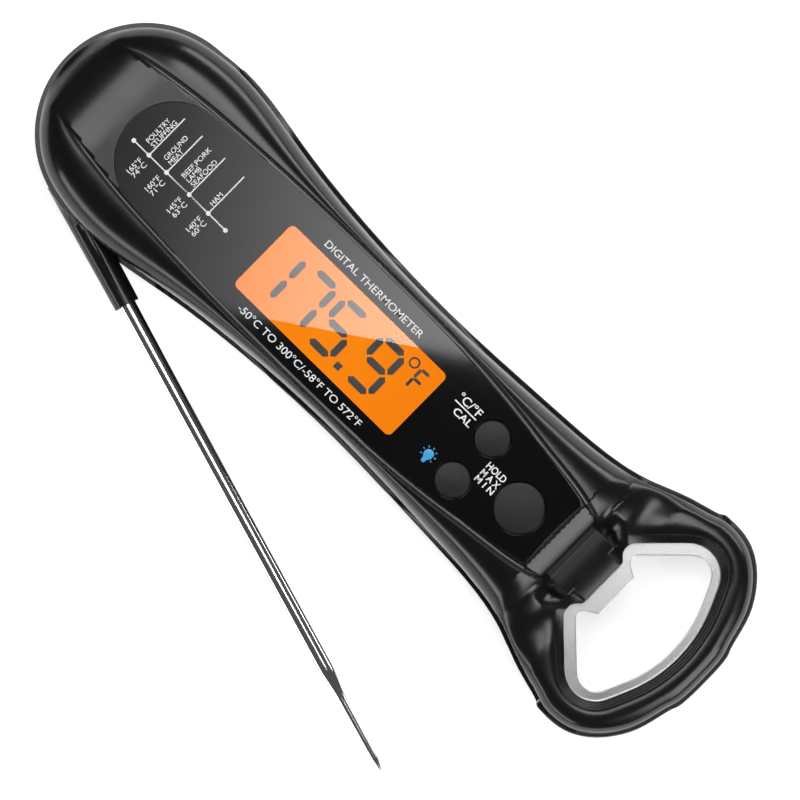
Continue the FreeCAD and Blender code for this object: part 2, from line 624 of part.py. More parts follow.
switches, keys, key_holes = [], {}, []
for spot, (key_x, key_y, key_radius) in BUTTON_SPOTS.items():
    body_box = box(spot + "SwitchBody", f"{key_x - 1.9}", f"{key_y - 1.9}", "board_high", "3.8", "3.8", "1.0")
    plunger = cylinder(spot + "Plunger", "1.0", "1.2", str(key_x), str(key_y), "board_high")
    switches.append(fuse(spot + "Switch", body_box, plunger))
    stem = cylinder(spot + "Stem", key_radius, "button_top - button_foot - 0.5", str(key_x), str(key_y),
                    "button_foot")
    crown = doc.addObject("Part::Sphere", spot + "Crown")
    crown_radius = f"({key_radius} * {key_radius} + 0.25) / (2 * 0.5)"
    at(bind(crown, Radius=crown_radius), str(key_x), str(key_y), f"button_top - {crown_radius}")
    cap_space = cylinder(spot + "CapSpace", key_radius, "0.6", str(key_x), str(key_y), "button_top - 0.5 - 0.1")
    cap = doc.addObject("Part::Common", spot + "Cap")
    cap.Base, cap.Tool = crown, cap_space
    flange = cylinder(spot + "Flange", f"{key_radius} + flange_step", "flange_high", str(key_x), str(key_y),
                      "button_foot")
    node(spot, fuse(spot + "Key", stem, cap, flange))
    key_holes.append((str(key_x), str(key_y), f"{key_radius} + flange_step + button_gap"))
node("tact_switches", group("TactSwitches", *switches))
web = plate("KeypadSheet", "button_foot", "flange_high", "79.5", "-11.2", "105.2", "9.8")
web_holes = [cylinder(f"WebHole{i}", radius, "3", x, y, "button_foot - 1")
             for i, (x, y, radius) in enumerate(key_holes)]
node("keypad_web", cut("KeypadWeb", web, fuse("WebHoles", *web_holes)))
node("case_gasket", shaped("CaseGasket", case_gasket()))


# ---------------------------------------------------------------- battery, magnets and screws

def battery_door():
    disc = cylinder("DoorDisc", "door_radius", "door_step - door_low", "battery_x", z="door_low")
    spigot = cylinder("DoorSpigot", "spigot_radius", "spigot_high - door_step", "battery_x", z="door_step")
    hollow = cylinder("DoorHollow", "spigot_radius - 1.2", "spigot_high", "battery_x", z="spigot_high - 0.9")
    lugs = []
    for angle in BATTERY_LUGS:
        lug = shaped(f"Lug{angle}", bayonet_sector(size("lug_low"), size("door_step"), angle,
                                                   size("lug_width"), size("lug_reach")))
        lugs.append(lug)
    slot_left = "battery_x - 7"
    slot = box("CoinSlot", slot_left, "-1.1", "door_low - 1", "14", "2.2", "1.7")
    return cut("BatteryDoor", cut("DoorShape", fuse("DoorSolid", disc, spigot, *lugs), hollow), slot)


node("battery_door", battery_door())
node("door_seal", ring("DoorSeal", "door_radius - 0.1", "spigot_radius + 0.05", "floor_top - door_step - 0.05",
                       "battery_x", z="door_step"))
node("coin_cell", cylinder("CoinCell", "cell_radius", "cell_high", "battery_x", z="cell_low"))
top_leaf = box("NegativeLeaf", "battery_x - 6", "-2", "cell_low + cell_high", "12", "4", "0.3")
CONTACT_LEG = ("0.8", "3.0")
negative_leg = box("NegativeLeg", "battery_x - 0.4", "-10.1", "cell_low + cell_high", *CONTACT_LEG,
                   "board_low - cell_low - cell_high")
negative_arm = box("NegativeArm", "battery_x - 0.4", "-9", "cell_low + cell_high", "0.8", "9", "0.3")
node("negative_contact", fuse("NegativeContact", top_leaf, negative_arm, negative_leg))
side_spring = box("SideSpring", "battery_x - 0.4", "10.05", "cell_low", "0.8", "0.35",
                  "cell_high + 0.3")
side_top = box("SideTop", "battery_x - 0.4", "7.1", "cell_low + cell_high + 0.05", "0.8", "3.3", "0.25")
side_leg = box("SideLeg", "battery_x - 0.4", "7.1", "cell_low + cell_high + 0.05", "0.8", "3.0",
               "board_low - cell_low - cell_high - 0.05")
node("positive_contact", fuse("PositiveContact", side_spring, side_top, side_leg))
node("back_magnets", group("BackMagnets", *[
    cylinder(f"BackMagnet{i}", "magnet_radius", "magnet_high", str(x), z="magnet_skin")
    for i, x in enumerate(MAGNET_SPOTS)]))


def case_screw(number, x, y, low, high):
    head = cylinder(f"ScrewHead{number}", "screw_head", "screw_head_high", str(x), str(y), str(low))
    shank_part = cylinder(f"ScrewShank{number}", "screw_radius", f"{high - low}", str(x), str(y), str(low))
    cross = box(f"ScrewCross{number}", f"{x - 1.3}", f"{y - 0.25}", f"{low - 1}", "2.6", "0.5", "1.7")
    other = box(f"ScrewCrossing{number}", f"{x - 0.25}", f"{y - 1.3}", f"{low - 1}", "0.5", "2.6", "1.7")
    return cut(f"CaseScrew{number}", fuse(f"ScrewBlank{number}", head, shank_part),
               fuse(f"ScrewRecess{number}", cross, other))


node("case_screws", group("CaseScrews", *[case_screw(i, *spot) for i, spot in enumerate(CASE_SCREWS)]))


def write_parts():
    doc.recompute()
    failed = [thing.Name for thing in doc.Objects if {"Invalid", "Error"} & set(thing.State)]
    unsound = [thing.Label for thing in NODES if thing.Shape.isNull() or not thing.Shape.isValid()]
    if failed or unsound:
        raise RuntimeError(f"failed objects {failed}, unsound shapes {unsound}")
    for thing in NODES:
        thing.Shape.exportStep(f"parts/{thing.Label}.step")
        solids = thing.Shape.Solids
        print(f"{thing.Label:18} {len(solids)} solids {thing.Shape.Volume:9.1f} mm3")


write_parts()
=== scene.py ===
"""Looks of the folding meat thermometer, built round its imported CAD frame.

The thermometer lies on its back: +Z is the face's normal and +X runs from the round head to the
opener ring.  Lengths here are millimetres until a mesh is made.
"""
import math

import bmesh
import bpy
import numpy as np
from mathutils import Matrix, Vector
from mathutils.geometry import delaunay_2d_cdt


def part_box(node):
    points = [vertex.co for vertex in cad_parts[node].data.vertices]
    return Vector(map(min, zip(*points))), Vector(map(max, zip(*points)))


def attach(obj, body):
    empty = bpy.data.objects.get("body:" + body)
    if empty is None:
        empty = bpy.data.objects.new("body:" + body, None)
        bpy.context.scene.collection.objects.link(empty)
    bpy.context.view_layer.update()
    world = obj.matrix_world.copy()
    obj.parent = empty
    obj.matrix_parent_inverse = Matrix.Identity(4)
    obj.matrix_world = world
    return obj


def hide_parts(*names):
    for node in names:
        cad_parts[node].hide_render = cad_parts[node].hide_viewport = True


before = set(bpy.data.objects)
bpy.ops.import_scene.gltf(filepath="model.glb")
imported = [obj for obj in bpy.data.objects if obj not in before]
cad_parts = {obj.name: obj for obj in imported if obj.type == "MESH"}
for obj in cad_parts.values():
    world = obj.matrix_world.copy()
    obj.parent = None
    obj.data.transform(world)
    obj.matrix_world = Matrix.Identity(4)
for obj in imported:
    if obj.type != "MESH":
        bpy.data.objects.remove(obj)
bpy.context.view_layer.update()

MM = 0.001


def level(node, side=1):
    """The lowest (0) or highest (1) level of a CAD node, in mm."""
    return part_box(node)[side].z / MM


SPLIT = level("rear_cover")
PANEL_TOP = level("display_panel")
PANEL_LOW = level("display_panel", 0)
LCD_TOP = level("lcd_glass")
CEILING = level("keypad_web")
PANEL_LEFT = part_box("display_panel")[0].x / MM
PANEL_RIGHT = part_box("display_panel")[1].x / MM
TONGUE_END = 120.4              # where the tongue of the ring ends along the handle
RIM = 1.0                       # height of the front cover's upright edge above the joint
REST_OPENING = math.radians(16.9)     # how far the probe stands open from the body at rest

BUTTONS = [("units_button", "units_key", 3.37), ("backlight_button", "backlight_key", 3.37),
           ("hold_button", "hold_key", 4.82)]
KEY_GAP = 0.17                  # clearance round each key


def middle_of(node):
    low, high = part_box(node)
    return (low.x + high.x) / 2 / MM, (low.y + high.y) / 2 / MM


# ------------------------------------------------------------------ small helpers


def smoothstep(low, high, value):
    t = np.clip((value - low) / (high - low), 0, 1)
    return t * t * (3 - 2 * t)


def smooth_max(a, b, width):
    share = np.clip(0.5 + 0.5 * (a - b) / width, 0, 1)
    return b + (a - b) * share + width * share * (1 - share) / 2


def through(stations, x):
    """A smooth curve through (x, y) stations, read at x."""
    xs, ys = np.array(stations).T
    slopes = np.gradient(ys, xs)
    i = np.clip(np.searchsorted(xs, x) - 1, 0, len(xs) - 2)
    width = xs[i + 1] - xs[i]
    t = np.clip((x - xs[i]) / width, 0, 1)
    rise = ys[i + 1] - ys[i]
    low, high = slopes[i] * width, slopes[i + 1] * width
    return ys[i] + t * low + t**2 * (3 * rise - 2 * low - high) + t**3 * (low + high - 2 * rise)


def area(loop):
    x, y = loop.T
    return 0.5 * np.sum(x * np.roll(y, -1) - y * np.roll(x, -1))


def from_lowest(loop):
    """The same closed outline, anticlockwise from its point of lowest X, so that each run agrees."""
    x, y = loop.round(4).T
    loop = np.roll(loop, -np.lexsort((y, x))[0], 0)
    return loop if area(loop) > 0 else np.vstack([loop[:1], loop[:0:-1]])


def section_loops(node, height):
    """The closed outlines of a CAD node cut at a level, the longest first."""
    work = bmesh.new()
    work.from_mesh(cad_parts[node].data)
    bmesh.ops.remove_doubles(work, verts=work.verts, dist=1e-6)
    everything = work.verts[:] + work.edges[:] + work.faces[:]
    bmesh.ops.bisect_plane(work, geom=everything, plane_co=(0, 0, height * MM), plane_no=(0, 0, 1),
                           clear_outer=True, clear_inner=True)
    bmesh.ops.remove_doubles(work, verts=work.verts, dist=1e-6)
    left, loops = dict.fromkeys(work.verts), []
    while left:
        vert = next(iter(left))
        del left[vert]
        loop = [vert]
        while True:
            ways = [e.other_vert(vert) for e in vert.link_edges]
            ways = [v for v in ways if v in left]
            if not ways:
                break
            vert = ways[0]
            del left[vert]
            loop.append(vert)
        loops.append(from_lowest(np.array([(v.co.x / MM, v.co.y / MM) for v in loop])))
    work.free()
    return sorted(loops, key=lambda p: -np.ptp(p[:, 0]) - np.ptp(p[:, 1]))


def evenly(loop, step, rounds=0):
    """A closed outline with evenly spaced points, softened by rounds of averaging, anticlockwise."""
    closed = np.vstack([loop, loop[:1]])
    lengths = np.hypot(*np.diff(closed, axis=0).T)
    along = np.concatenate([[0], np.cumsum(lengths)])
    count = max(12, int(round(along[-1] / step)))
    spots = np.arange(count) * along[-1] / count
    points = np.column_stack([np.interp(spots, along, closed[:, i]) for i in (0, 1)])
    for _ in range(rounds):
        points = (np.roll(points, 1, 0) + 2 * points + np.roll(points, -1, 0)) / 4
    return points if area(points) > 0 else points[::-1]


def nearest(points, loop):
    """How far each point is from a closed outline, and the direction away from it."""
    start, step = loop, np.roll(loop, -1, 0) - loop
    length2 = np.maximum((step**2).sum(1), 1e-12)
    away = np.empty((len(points), 2))
    for i in range(0, len(points), 4000):
        block = points[i:i + 4000]
        px, py = block[:, :1] - start[:, 0], block[:, 1:] - start[:, 1]
        t = np.clip((px * step[:, 0] + py * step[:, 1]) / length2, 0, 1)
        dx, dy = px - t * step[:, 0], py - t * step[:, 1]
        best = (dx * dx + dy * dy).argmin(1)
        rows = np.arange(len(block))
        away[i:i + 4000, 0], away[i:i + 4000, 1] = dx[rows, best], dy[rows, best]
    reach = np.hypot(*away.T)
    return reach, away / np.maximum(reach, 1e-9)[:, None]


def distance(points, loop):
    return nearest(points, loop)[0]


def inside(points, loop):
    x, y = points[:, 0, None], points[:, 1, None]
    ax, ay = loop.T
    bx, by = np.roll(loop, -1, 0).T
    result = np.empty(len(points), bool)
    slope = (bx - ax) / np.where(by == ay, 1e-12, by - ay)
    for i in range(0, len(points), 4000):
        px, py = x[i:i + 4000], y[i:i + 4000]
        crossing = ((ay > py) != (by > py)) & (px < slope * (py - ay) + ax)
        result[i:i + 4000] = crossing.sum(1) % 2 == 1
    return result


def offset(loop, reach):
    """The outline moved inwards by reach, point by point."""
    run = np.roll(loop, -1, 0) - np.roll(loop, 1, 0)
    run /= np.hypot(*run.T)[:, None]
    return loop + reach * np.column_stack([-run[:, 1], run[:, 0]])


def rectangle(left, low, right, high, corner, turns=8):
    """A closed outline with rounded corners."""
    points = []
    for x, y, start in ((right - corner, high - corner, 0), (left + corner, high - corner, 90),
                        (left + corner, low + corner, 180), (right - corner, low + corner, 270)):
        for i in range(turns + 1):
            turn = math.radians(start + 90 * i / turns)
            points.append((x + corner * math.cos(turn), y + corner * math.sin(turn)))
    return np.array(points)


def circle(x, y, radius, count=64):
    turns = np.linspace(0, 2 * np.pi, count, endpoint=False)
    return np.column_stack([x + radius * np.cos(turns), y + radius * np.sin(turns)])


def object_of(name, verts, faces, smooth=True):
    """A mesh object from points in mm."""
    mesh = bpy.data.meshes.new(name)
    mesh.from_pydata([tuple(c * MM for c in v) for v in verts], [], [tuple(f) for f in faces])
    mesh.validate()
    mesh.polygons.foreach_set("use_smooth", [smooth] * len(mesh.polygons))
    mesh.update()
    piece = bpy.data.objects.new(name, mesh)
    bpy.context.scene.collection.objects.link(piece)
    return piece


def from_work(name, work, smooth_angle=None):
    """A mesh object from a bmesh in metres."""
    mesh = bpy.data.meshes.new(name)
    work.to_mesh(mesh)
    work.free()
    if smooth_angle is not None:
        mesh.polygons.foreach_set("use_smooth", [True] * len(mesh.polygons))
        mesh.set_sharp_from_angle(angle=math.radians(smooth_angle))
    piece = bpy.data.objects.new(name, mesh)
    bpy.context.scene.collection.objects.link(piece)
    return piece


def triangles(loops, extra=()):
    """Triangulates flat points; the loops are kept as edges. Returns points, faces and loop indices."""
    points = np.vstack([*loops, *[e for e in extra if len(e)]])
    edges, starts, at = [], [], 0
    for loop in loops:
        starts.append(at)
        edges += [(at + i, at + (i + 1) % len(loop)) for i in range(len(loop))]
        at += len(loop)
    made = delaunay_2d_cdt([Vector(p) for p in points], edges, [], 0, 1e-4)
    found = {}
    for i, origins in enumerate(made[3]):
        for origin in origins:
            found[origin] = i
    rims = [[found[start + i] for i in range(len(loop))] for start, loop in zip(starts, loops)]
    points, faces = np.array([tuple(p) for p in made[0]]), np.array(made[2])
    a, b, c = (points[faces[:, i]] for i in range(3))
    turn = (b[:, 0] - a[:, 0]) * (c[:, 1] - a[:, 1]) - (b[:, 1] - a[:, 1]) * (c[:, 0] - a[:, 0])
    return points, np.where((turn > 0)[:, None], faces, faces[:, ::-1]), rims


def grid_points(outer, holes, step, clear):
    """Points of a triangular grid inside the outline, clear of its edges."""
    low, high = outer.min(0), outer.max(0)
    xs = np.arange(low[0], high[0], step)
    ys = np.arange(low[1], high[1], step * 0.87)
    gx, gy = np.meshgrid(xs, ys)
    gx = gx + (np.arange(len(ys)) % 2)[:, None] * step / 2
    points = np.column_stack([gx.ravel(), gy.ravel()])
    points = points[inside(points, outer)]
    for hole in holes:
        points = points[~inside(points, hole)]
    for loop, gap in clear:
        points = points[distance(points, loop) > gap]
    return points


def filler(loops, step=0.9, gap=0.35):
    """A few points inside a flat face, off its outlines, so that straight edges get whole triangles."""
    points = grid_points(loops[0], loops[1:], step, [])
    for loop in loops:
        points = points[distance(points, loop) > gap]
    return points


def enclosed(points, faces, rim):
    """Which anticlockwise triangles lie inside an anticlockwise rim of their own points."""
    result = inside(points[faces].mean(1), points[rim])
    place = np.full(len(points), -1)
    place[rim] = np.arange(len(rim))
    spots = place[faces]
    on_rim = (spots >= 0).all(1)
    one, two = ((spots[:, k] - spots[:, 0]) % len(rim) for k in (1, 2))
    return np.where(on_rim, one < two, result)


def kept(points, faces, rims):
    """The triangles inside the first rim and outside the others."""
    keep = enclosed(points, faces, rims[0])
    for rim in rims[1:]:
        keep &= ~enclosed(points, faces, rim)
    return faces[keep]


# ------------------------------------------------------------------ the front cover's shape

FRONT_LOOPS = section_loops("front_cover", SPLIT + 0.6)
OUTER = evenly(FRONT_LOOPS[0], 0.6, 6)
OPENING = next(evenly(p, 0.35, 2) for p in FRONT_LOOPS[1:] if p[:, 0].min() > 110 and np.ptp(p[:, 1]) > 20)
PANEL = evenly(section_loops("display_panel", PANEL_TOP - 0.1)[0], 0.5, 1)

ISLAND_SIDES = [(-15.5, 8.4), (-11.6, 9.5), (0.6, 11.6), (19.3, 12.9), (42.0, 13.5), (57.0, 13.5),
                (72.0, 13.2), (83.0, 12.3), (94.0, 10.9), (107.3, 8.95), (109.6, 8.35), (111.4, 7.6),
                (112.3, 6.4)]


def island_outline():
    xs = np.concatenate([np.arange(-15.5, 109, 0.7), np.linspace(109.2, 112.3, 14)])
    halves = through(ISLAND_SIDES, xs)
    upper = np.column_stack([xs, halves])
    lower = np.column_stack([xs[::-1], -halves[::-1]])
    return evenly(np.vstack([lower, upper]), 0.5)


ISLAND = island_outline()


def crest(x):
    """The level of the raised middle along the handle."""
    head = np.clip((PANEL_LEFT - 0.2 - x) / 17.3, 0, 1)
    tail = np.clip((x - PANEL_RIGHT - 0.35) / 4.4, 0, 1)
    return PANEL_TOP - 6.4 * head**2.3 - 2.3 * tail**1.15


CHAMFER_DROP = 0.5              # how far the raised middle's chamfered edge falls
GROOVE_REACH, GROOVE_DEPTH = 0.17, 0.34
EDGE_START = 0.004              # share of the domed side that its upright edge already holds
RIDGE_REACH, RIDGE_RISE = 2.5, 3.1      # the ring's ridge: its distance from the opening and its height
STAIR_REACH, STAIRS, STAIR_LOW, STAIR_RISE = 1.7, 4, 0.3, 1.5
TONGUE_HALF, TIP_HALF = 6.7, 5.06       # the tongue's half width, and that of its narrower tip
TIP_START = 117.6


def front_height(x, y, to_edge, to_hole, past_island):
    """The level of the front cover's upper surface, from a point's place and its distances.

    past_island is the distance from the raised middle's outline, less than 0 on the raised middle.
    """
    to_island = np.abs(past_island)
    outside_island, depth = np.maximum(past_island, 0), np.maximum(-past_island, 0)
    rim = SPLIT + RIM
    # the handle: a domed side up to the raised middle
    share = EDGE_START + (1 - EDGE_START) * to_edge / np.maximum(to_edge + outside_island, 1e-6)
    dome = (1 - np.clip(1 - share, 0, 1)**2.1)**0.5
    step = CHAMFER_DROP * smoothstep(-15, -7, x) * (1 - smoothstep(111, 112.3, x))
    chamfer = np.clip((depth - 0.14) / 0.66, 0, 1)
    top = crest(x) - step * (1 - chamfer)
    fade = 1 - smoothstep(109, 126, x)
    handle = rim + (top - rim) * dome * fade
    groove = np.clip(1 - (to_island / GROOVE_REACH)**2, 0, 1) * GROOVE_DEPTH * smoothstep(-15, -8, x)
    handle -= groove * (1 - smoothstep(110, 112, x))
    # the ring: a rounded band with fine steps beside the opening
    ridge = RIDGE_REACH + 1.5 * (1 - smoothstep(118, 130, x))
    width = np.maximum(to_edge + to_hole, ridge + 0.5)
    out = np.clip((to_hole - ridge) / (width - ridge), 0, 1)
    into = np.clip((ridge - to_hole) / ridge, 0, 1)
    band = rim + RIDGE_RISE * (1 - out**2.2)**0.5 - 1.2 * into**2
    stairs = np.clip(to_hole / STAIR_REACH, 0, 1) * STAIRS
    tread = np.floor(stairs)
    stair = (tread + smoothstep(0.55, 1.0, stairs - tread)) / STAIRS
    band = np.where(to_hole < STAIR_REACH, np.minimum(band, rim + STAIR_LOW + STAIR_RISE * stair), band)
    band = rim + (band - rim) * smoothstep(106, 122, x)
    surface = smooth_max(handle, band, 2.2)
    # the hollow each side of the tongue, and the tongue itself
    spread = np.abs(y) + 0.7 * np.maximum(0, x - 115)
    hollow = (1 - smoothstep(6.4, 11.5, spread)) * smoothstep(110.8, 114.4, x)
    surface = surface * (1 - hollow) + (rim + 0.45) * hollow
    tongue_edge = np.maximum(np.minimum(TONGUE_HALF - np.abs(y), TIP_START - x),
                             np.minimum(TIP_HALF - np.abs(y), TONGUE_END + 0.02 - x))
    rounding = 1 - (1 - np.clip(tongue_edge / 0.55, 0, 1))**2
    tongue_top = SPLIT + 3.3 - 1.1 * (np.clip(x - 114, 0, 6.4) / 6.4)**2
    tongue = rim + (tongue_top - rim) * np.sqrt(rounding)
    on_tongue = (tongue_edge > 0) & (x > 111.5)
    return np.where(on_tongue, np.maximum(surface, tongue), surface)


def rows(loop, reaches, step, rounds=0):
    return [evenly(offset(evenly(loop, step, rounds), reach), step) for reach in reaches]


def within(points, outer, holes):
    keep = inside(points, outer) & (distance(points, outer) > 0.03)
    for hole in holes:
        keep &= ~inside(points, hole) & (distance(points, hole) > 0.03)
    return points[keep]


def surface_normals(points, gap=0.02):
    """Levels and exact normals; the distances change evenly over a small step."""
    to_edge, from_edge = nearest(points, OUTER)
    to_hole, from_hole = nearest(points, OPENING)
    to_island, from_island = nearest(points, ISLAND)
    side = np.where(inside(points, ISLAND), -1, 1)
    past_island, from_island = to_island * side, from_island * side[:, None]

    def height(shift):
        shift = np.array(shift)
        return front_height(*(points + shift).T, to_edge + from_edge @ shift, to_hole + from_hole @ shift,
                            past_island + from_island @ shift)

    east = height((gap, 0)) - height((-gap, 0))
    north = height((0, gap)) - height((0, -gap))
    normals = np.column_stack([-east / (2 * gap), -north / (2 * gap), np.ones(len(points))])
    return height((0, 0)), normals / np.linalg.norm(normals, axis=1)[:, None]


def walls(rim_top, rim_low, outwards):
    """Quads between two matching closed rows of vertices."""
    faces = []
    for i in range(len(rim_top)):
        j = (i + 1) % len(rim_top)
        quad = (rim_top[i], rim_low[i], rim_low[j], rim_top[j])
        faces.append(quad if outwards else quad[::-1])
    return faces


def recesses():
    """(outline, level) of the hollows in the front cover's underside, outermost first.

    A level of None is a hole right through to the panel's pocket.
    """
    gasket = [evenly(p, 1.0) for p in section_loops("case_gasket", (SPLIT + level("case_gasket")) / 2)]
    cavity = max((p for p in section_loops("front_cover", SPLIT + 1)
                  if np.ptp(p[:, 1]) < 24 and p[:, 0].max() < PANEL_RIGHT), key=lambda p: np.ptp(p[:, 0]))
    low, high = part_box("lcd_glass")
    window = rectangle(low.x / MM - 0.15, low.y / MM - 0.15, high.x / MM + 0.15, high.y / MM + 0.15, 0.4)
    keys = [circle(*middle_of(node), radius + KEY_GAP + 0.02, 48) for node, _, radius in BUTTONS]
    return [(gasket[0], level("case_gasket")), (gasket[1], SPLIT), (evenly(cavity, 1.0), CEILING),
            (window, None), *[(key, None) for key in keys]]


def front_cover():
    holes = [OPENING, PANEL]
    near_edge = [0.05, 0.16, 0.33, 0.56, 0.85, 1.2, 1.65, 2.2]
    near_hole = [-0.1 * i for i in range(1, 19)] + [-2.0, -2.25, -2.5, -2.8, -3.2]
    at_island = [-0.5, -0.3, -0.17, -0.12, -0.06, 0.0, 0.06, 0.12, 0.17, 0.3, 0.5, 0.66, 0.8]
    lines = rows(OUTER, near_edge[:6], 0.6)
    feature = rows(OUTER, near_edge[6:], 0.6) + rows(OPENING, near_hole, 0.35)
    feature += rows(ISLAND, at_island, 0.45)
    tongue_run = np.arange(112.5, TONGUE_END, 0.2)
    feature += [np.column_stack([tongue_run, np.full(len(tongue_run), side * half)])
                for side in (-1, 1) for half in (6.72, 6.6, 6.45, 6.2, 5.1, 5.0, 4.85, 4.6)]
    feature = [within(row, OUTER, holes) for row in feature]
    clear = [(OUTER, 2.5), (OPENING, 3.4), (ISLAND, 0.95), (PANEL, 0.3)]
    body = grid_points(OUTER, holes, 0.75, clear)
    fine = grid_points(rectangle(109.5, -13, 122, 13, 1), [OPENING], 0.3, [(OPENING, 0.3)])
    extra = [*feature, body, within(fine, OUTER, holes)]
    points, faces, rims = triangles([OUTER, OPENING, PANEL, *lines], extra)
    rims = rims[:3]
    faces = kept(points, faces, rims)
    heights, normals = surface_normals(points)
    verts = [tuple(p) + (h,) for p, h in zip(points, heights)]
    all_faces = [tuple(f) for f in faces]
    upper = len(all_faces)
    low_rims = []
    for rim, floor_level, outwards in ((rims[0], SPLIT, True), (rims[1], SPLIT, False),
                                       (rims[2], PANEL_LOW, False)):
        low = [len(verts) + i for i in range(len(rim))]
        verts += [(points[i, 0], points[i, 1], floor_level) for i in rim]
        low_rims.append(low)
        all_faces += walls(rim, low, outwards)
    outer, opening, pocket = (points[rim] for rim in rims)
    hollows = recesses()
    through_holes = [loop for loop, depth in hollows if depth is None]
    # the underside, in steps, then the pocket's floor; through holes join the two
    under = [outer, opening, *[loop for loop, _ in hollows]]
    flat, base, ends = triangles(under, [filler(under, 3.0, 0.6)])
    numbers = {(end, SPLIT): low for k in (0, 1) for end, low in zip(ends[k], low_rims[k])}

    def vertex(i, depth, book, spots):
        if (i, depth) not in book:
            book[i, depth] = len(verts)
            verts.append((*spots[i], depth))
        return book[i, depth]

    under_faces = kept(flat, base, ends[:2])
    depths = np.full(len(under_faces), SPLIT)
    for (_, depth), found in zip(hollows, ends[2:]):
        depths[enclosed(flat, under_faces, found)] = np.nan if depth is None else depth
    for face, depth in zip(under_faces, depths):
        if not np.isnan(depth):
            all_faces.append(tuple(vertex(i, depth, numbers, flat) for i in reversed(face)))
    around = SPLIT
    for (_, depth), found in zip(hollows, ends[2:]):
        if depth is not None:
            one = [vertex(i, max(depth, around), numbers, flat) for i in found]
            other = [vertex(i, min(depth, around), numbers, flat) for i in found]
            all_faces += walls(one, other, depth < around)
            around = depth
    floor_loops = [pocket, *through_holes]
    flat_floor, base, floor_ends = triangles(floor_loops, [filler(floor_loops, 2.5, 0.5)])
    book = {(end, PANEL_LOW): low for end, low in zip(floor_ends[0], low_rims[2])}
    for face in kept(flat_floor, base, floor_ends):
        all_faces.append(tuple(vertex(i, PANEL_LOW, book, flat_floor) for i in face))
    through_ends = [found for (_, depth), found in zip(hollows, ends[2:]) if depth is None]
    for low_found, high_found in zip(through_ends, floor_ends[1:]):
        top = [vertex(i, PANEL_LOW, book, flat_floor) for i in high_found]
        bottom = [vertex(i, CEILING, numbers, flat) for i in low_found]
        all_faces += walls(top, bottom, False)
    piece = object_of("front_cover_shell", verts, all_faces)
    set_normals(piece, upper, normals)
    return piece


def set_normals(piece, upper, normals):
    """Gives the first faces the surface's exact normals and leaves the rest flat."""
    mesh = piece.data
    exact = np.zeros((len(mesh.loops), 3))
    vertex = np.empty(len(mesh.loops), int)
    mesh.loops.foreach_get("vertex_index", vertex)
    for number, polygon in enumerate(mesh.polygons):
        span = range(polygon.loop_start, polygon.loop_start + polygon.loop_total)
        if number < upper:
            exact[span] = normals[vertex[span]]
        else:
            exact[span] = polygon.normal
    mesh.normals_split_custom_set([tuple(n) for n in exact])

# ------------------------------------------------------------------ finishes


class Finish:
    """A material with a short way to add nodes."""

    def __init__(self, name, color=(0.5, 0.5, 0.5), **values):
        self.material = bpy.data.materials.new(name)
        self.material.use_nodes = True
        self.tree = self.material.node_tree
        self.shader = self.tree.nodes["Principled BSDF"]
        self.shader.inputs["Base Color"].default_value = (*color, 1)
        for socket, value in values.items():
            self.shader.inputs[socket.replace("_", " ")].default_value = value

    def node(self, kind, **values):
        made = self.tree.nodes.new(kind)
        for name, value in values.items():
            if name in made.inputs:
                made.inputs[name].default_value = value
            else:
                setattr(made, name, value)
        return made

    def link(self, out, into):
        self.tree.links.new(out, into)

    def place(self, stretch=(1, 1, 1), turn=(0, 0, 0)):
        """Object coordinates, stretched and turned."""
        where = self.node("ShaderNodeTexCoord")
        mapping = self.node("ShaderNodeMapping")
        mapping.inputs["Scale"].default_value = stretch
        mapping.inputs["Rotation"].default_value = turn
        self.link(where.outputs["Object"], mapping.inputs["Vector"])
        return mapping.outputs["Vector"]

    def use(self, group, where, **values):
        """Places a shared effect with its own values."""
        made = self.node("ShaderNodeGroup")
        made.node_tree = group
        for name, value in values.items():
            made.inputs[name.replace("_", " ")].default_value = value
        self.link(where, made.inputs["Vector"])
        return made

    def relief(self, height, depth, strength=1.0):
        bump = self.node("ShaderNodeBump")
        bump.inputs["Strength"].default_value = strength
        bump.inputs["Distance"].default_value = depth
        self.link(height, bump.inputs["Height"])
        self.link(bump.outputs["Normal"], self.shader.inputs["Normal"])


def shared_effect(name, inputs, outputs):
    """An empty node group with named sockets; inputs are (name, kind, value)."""
    group = bpy.data.node_groups.new(name, "ShaderNodeTree")
    group.interface.new_socket("Vector", in_out="INPUT", socket_type="NodeSocketVector")
    for socket, kind, value in inputs:
        made = group.interface.new_socket(socket, in_out="INPUT", socket_type=kind)
        made.default_value = value
    for socket, kind in outputs:
        group.interface.new_socket(socket, in_out="OUTPUT", socket_type=kind)
    return group, group.nodes.new("NodeGroupInput"), group.nodes.new("NodeGroupOutput")


def math_node(group, operation, a, b):
    made = group.nodes.new("ShaderNodeMath")
    made.operation = operation
    for socket, value in zip(made.inputs, (a, b)):
        if isinstance(value, (int, float)):
            socket.default_value = value
        else:
            group.links.new(value, socket)
    return made.outputs[0]


def noise_in(group, vector, scale, detail=3.0):
    made = group.nodes.new("ShaderNodeTexNoise")
    made.inputs["Detail"].default_value = detail
    group.links.new(vector, made.inputs["Vector"])
    if isinstance(scale, (int, float)):
        made.inputs["Scale"].default_value = scale
    else:
        group.links.new(scale, made.inputs["Scale"])
    return made.outputs["Fac"]


FLOAT, COLOR = "NodeSocketFloat", "NodeSocketColor"


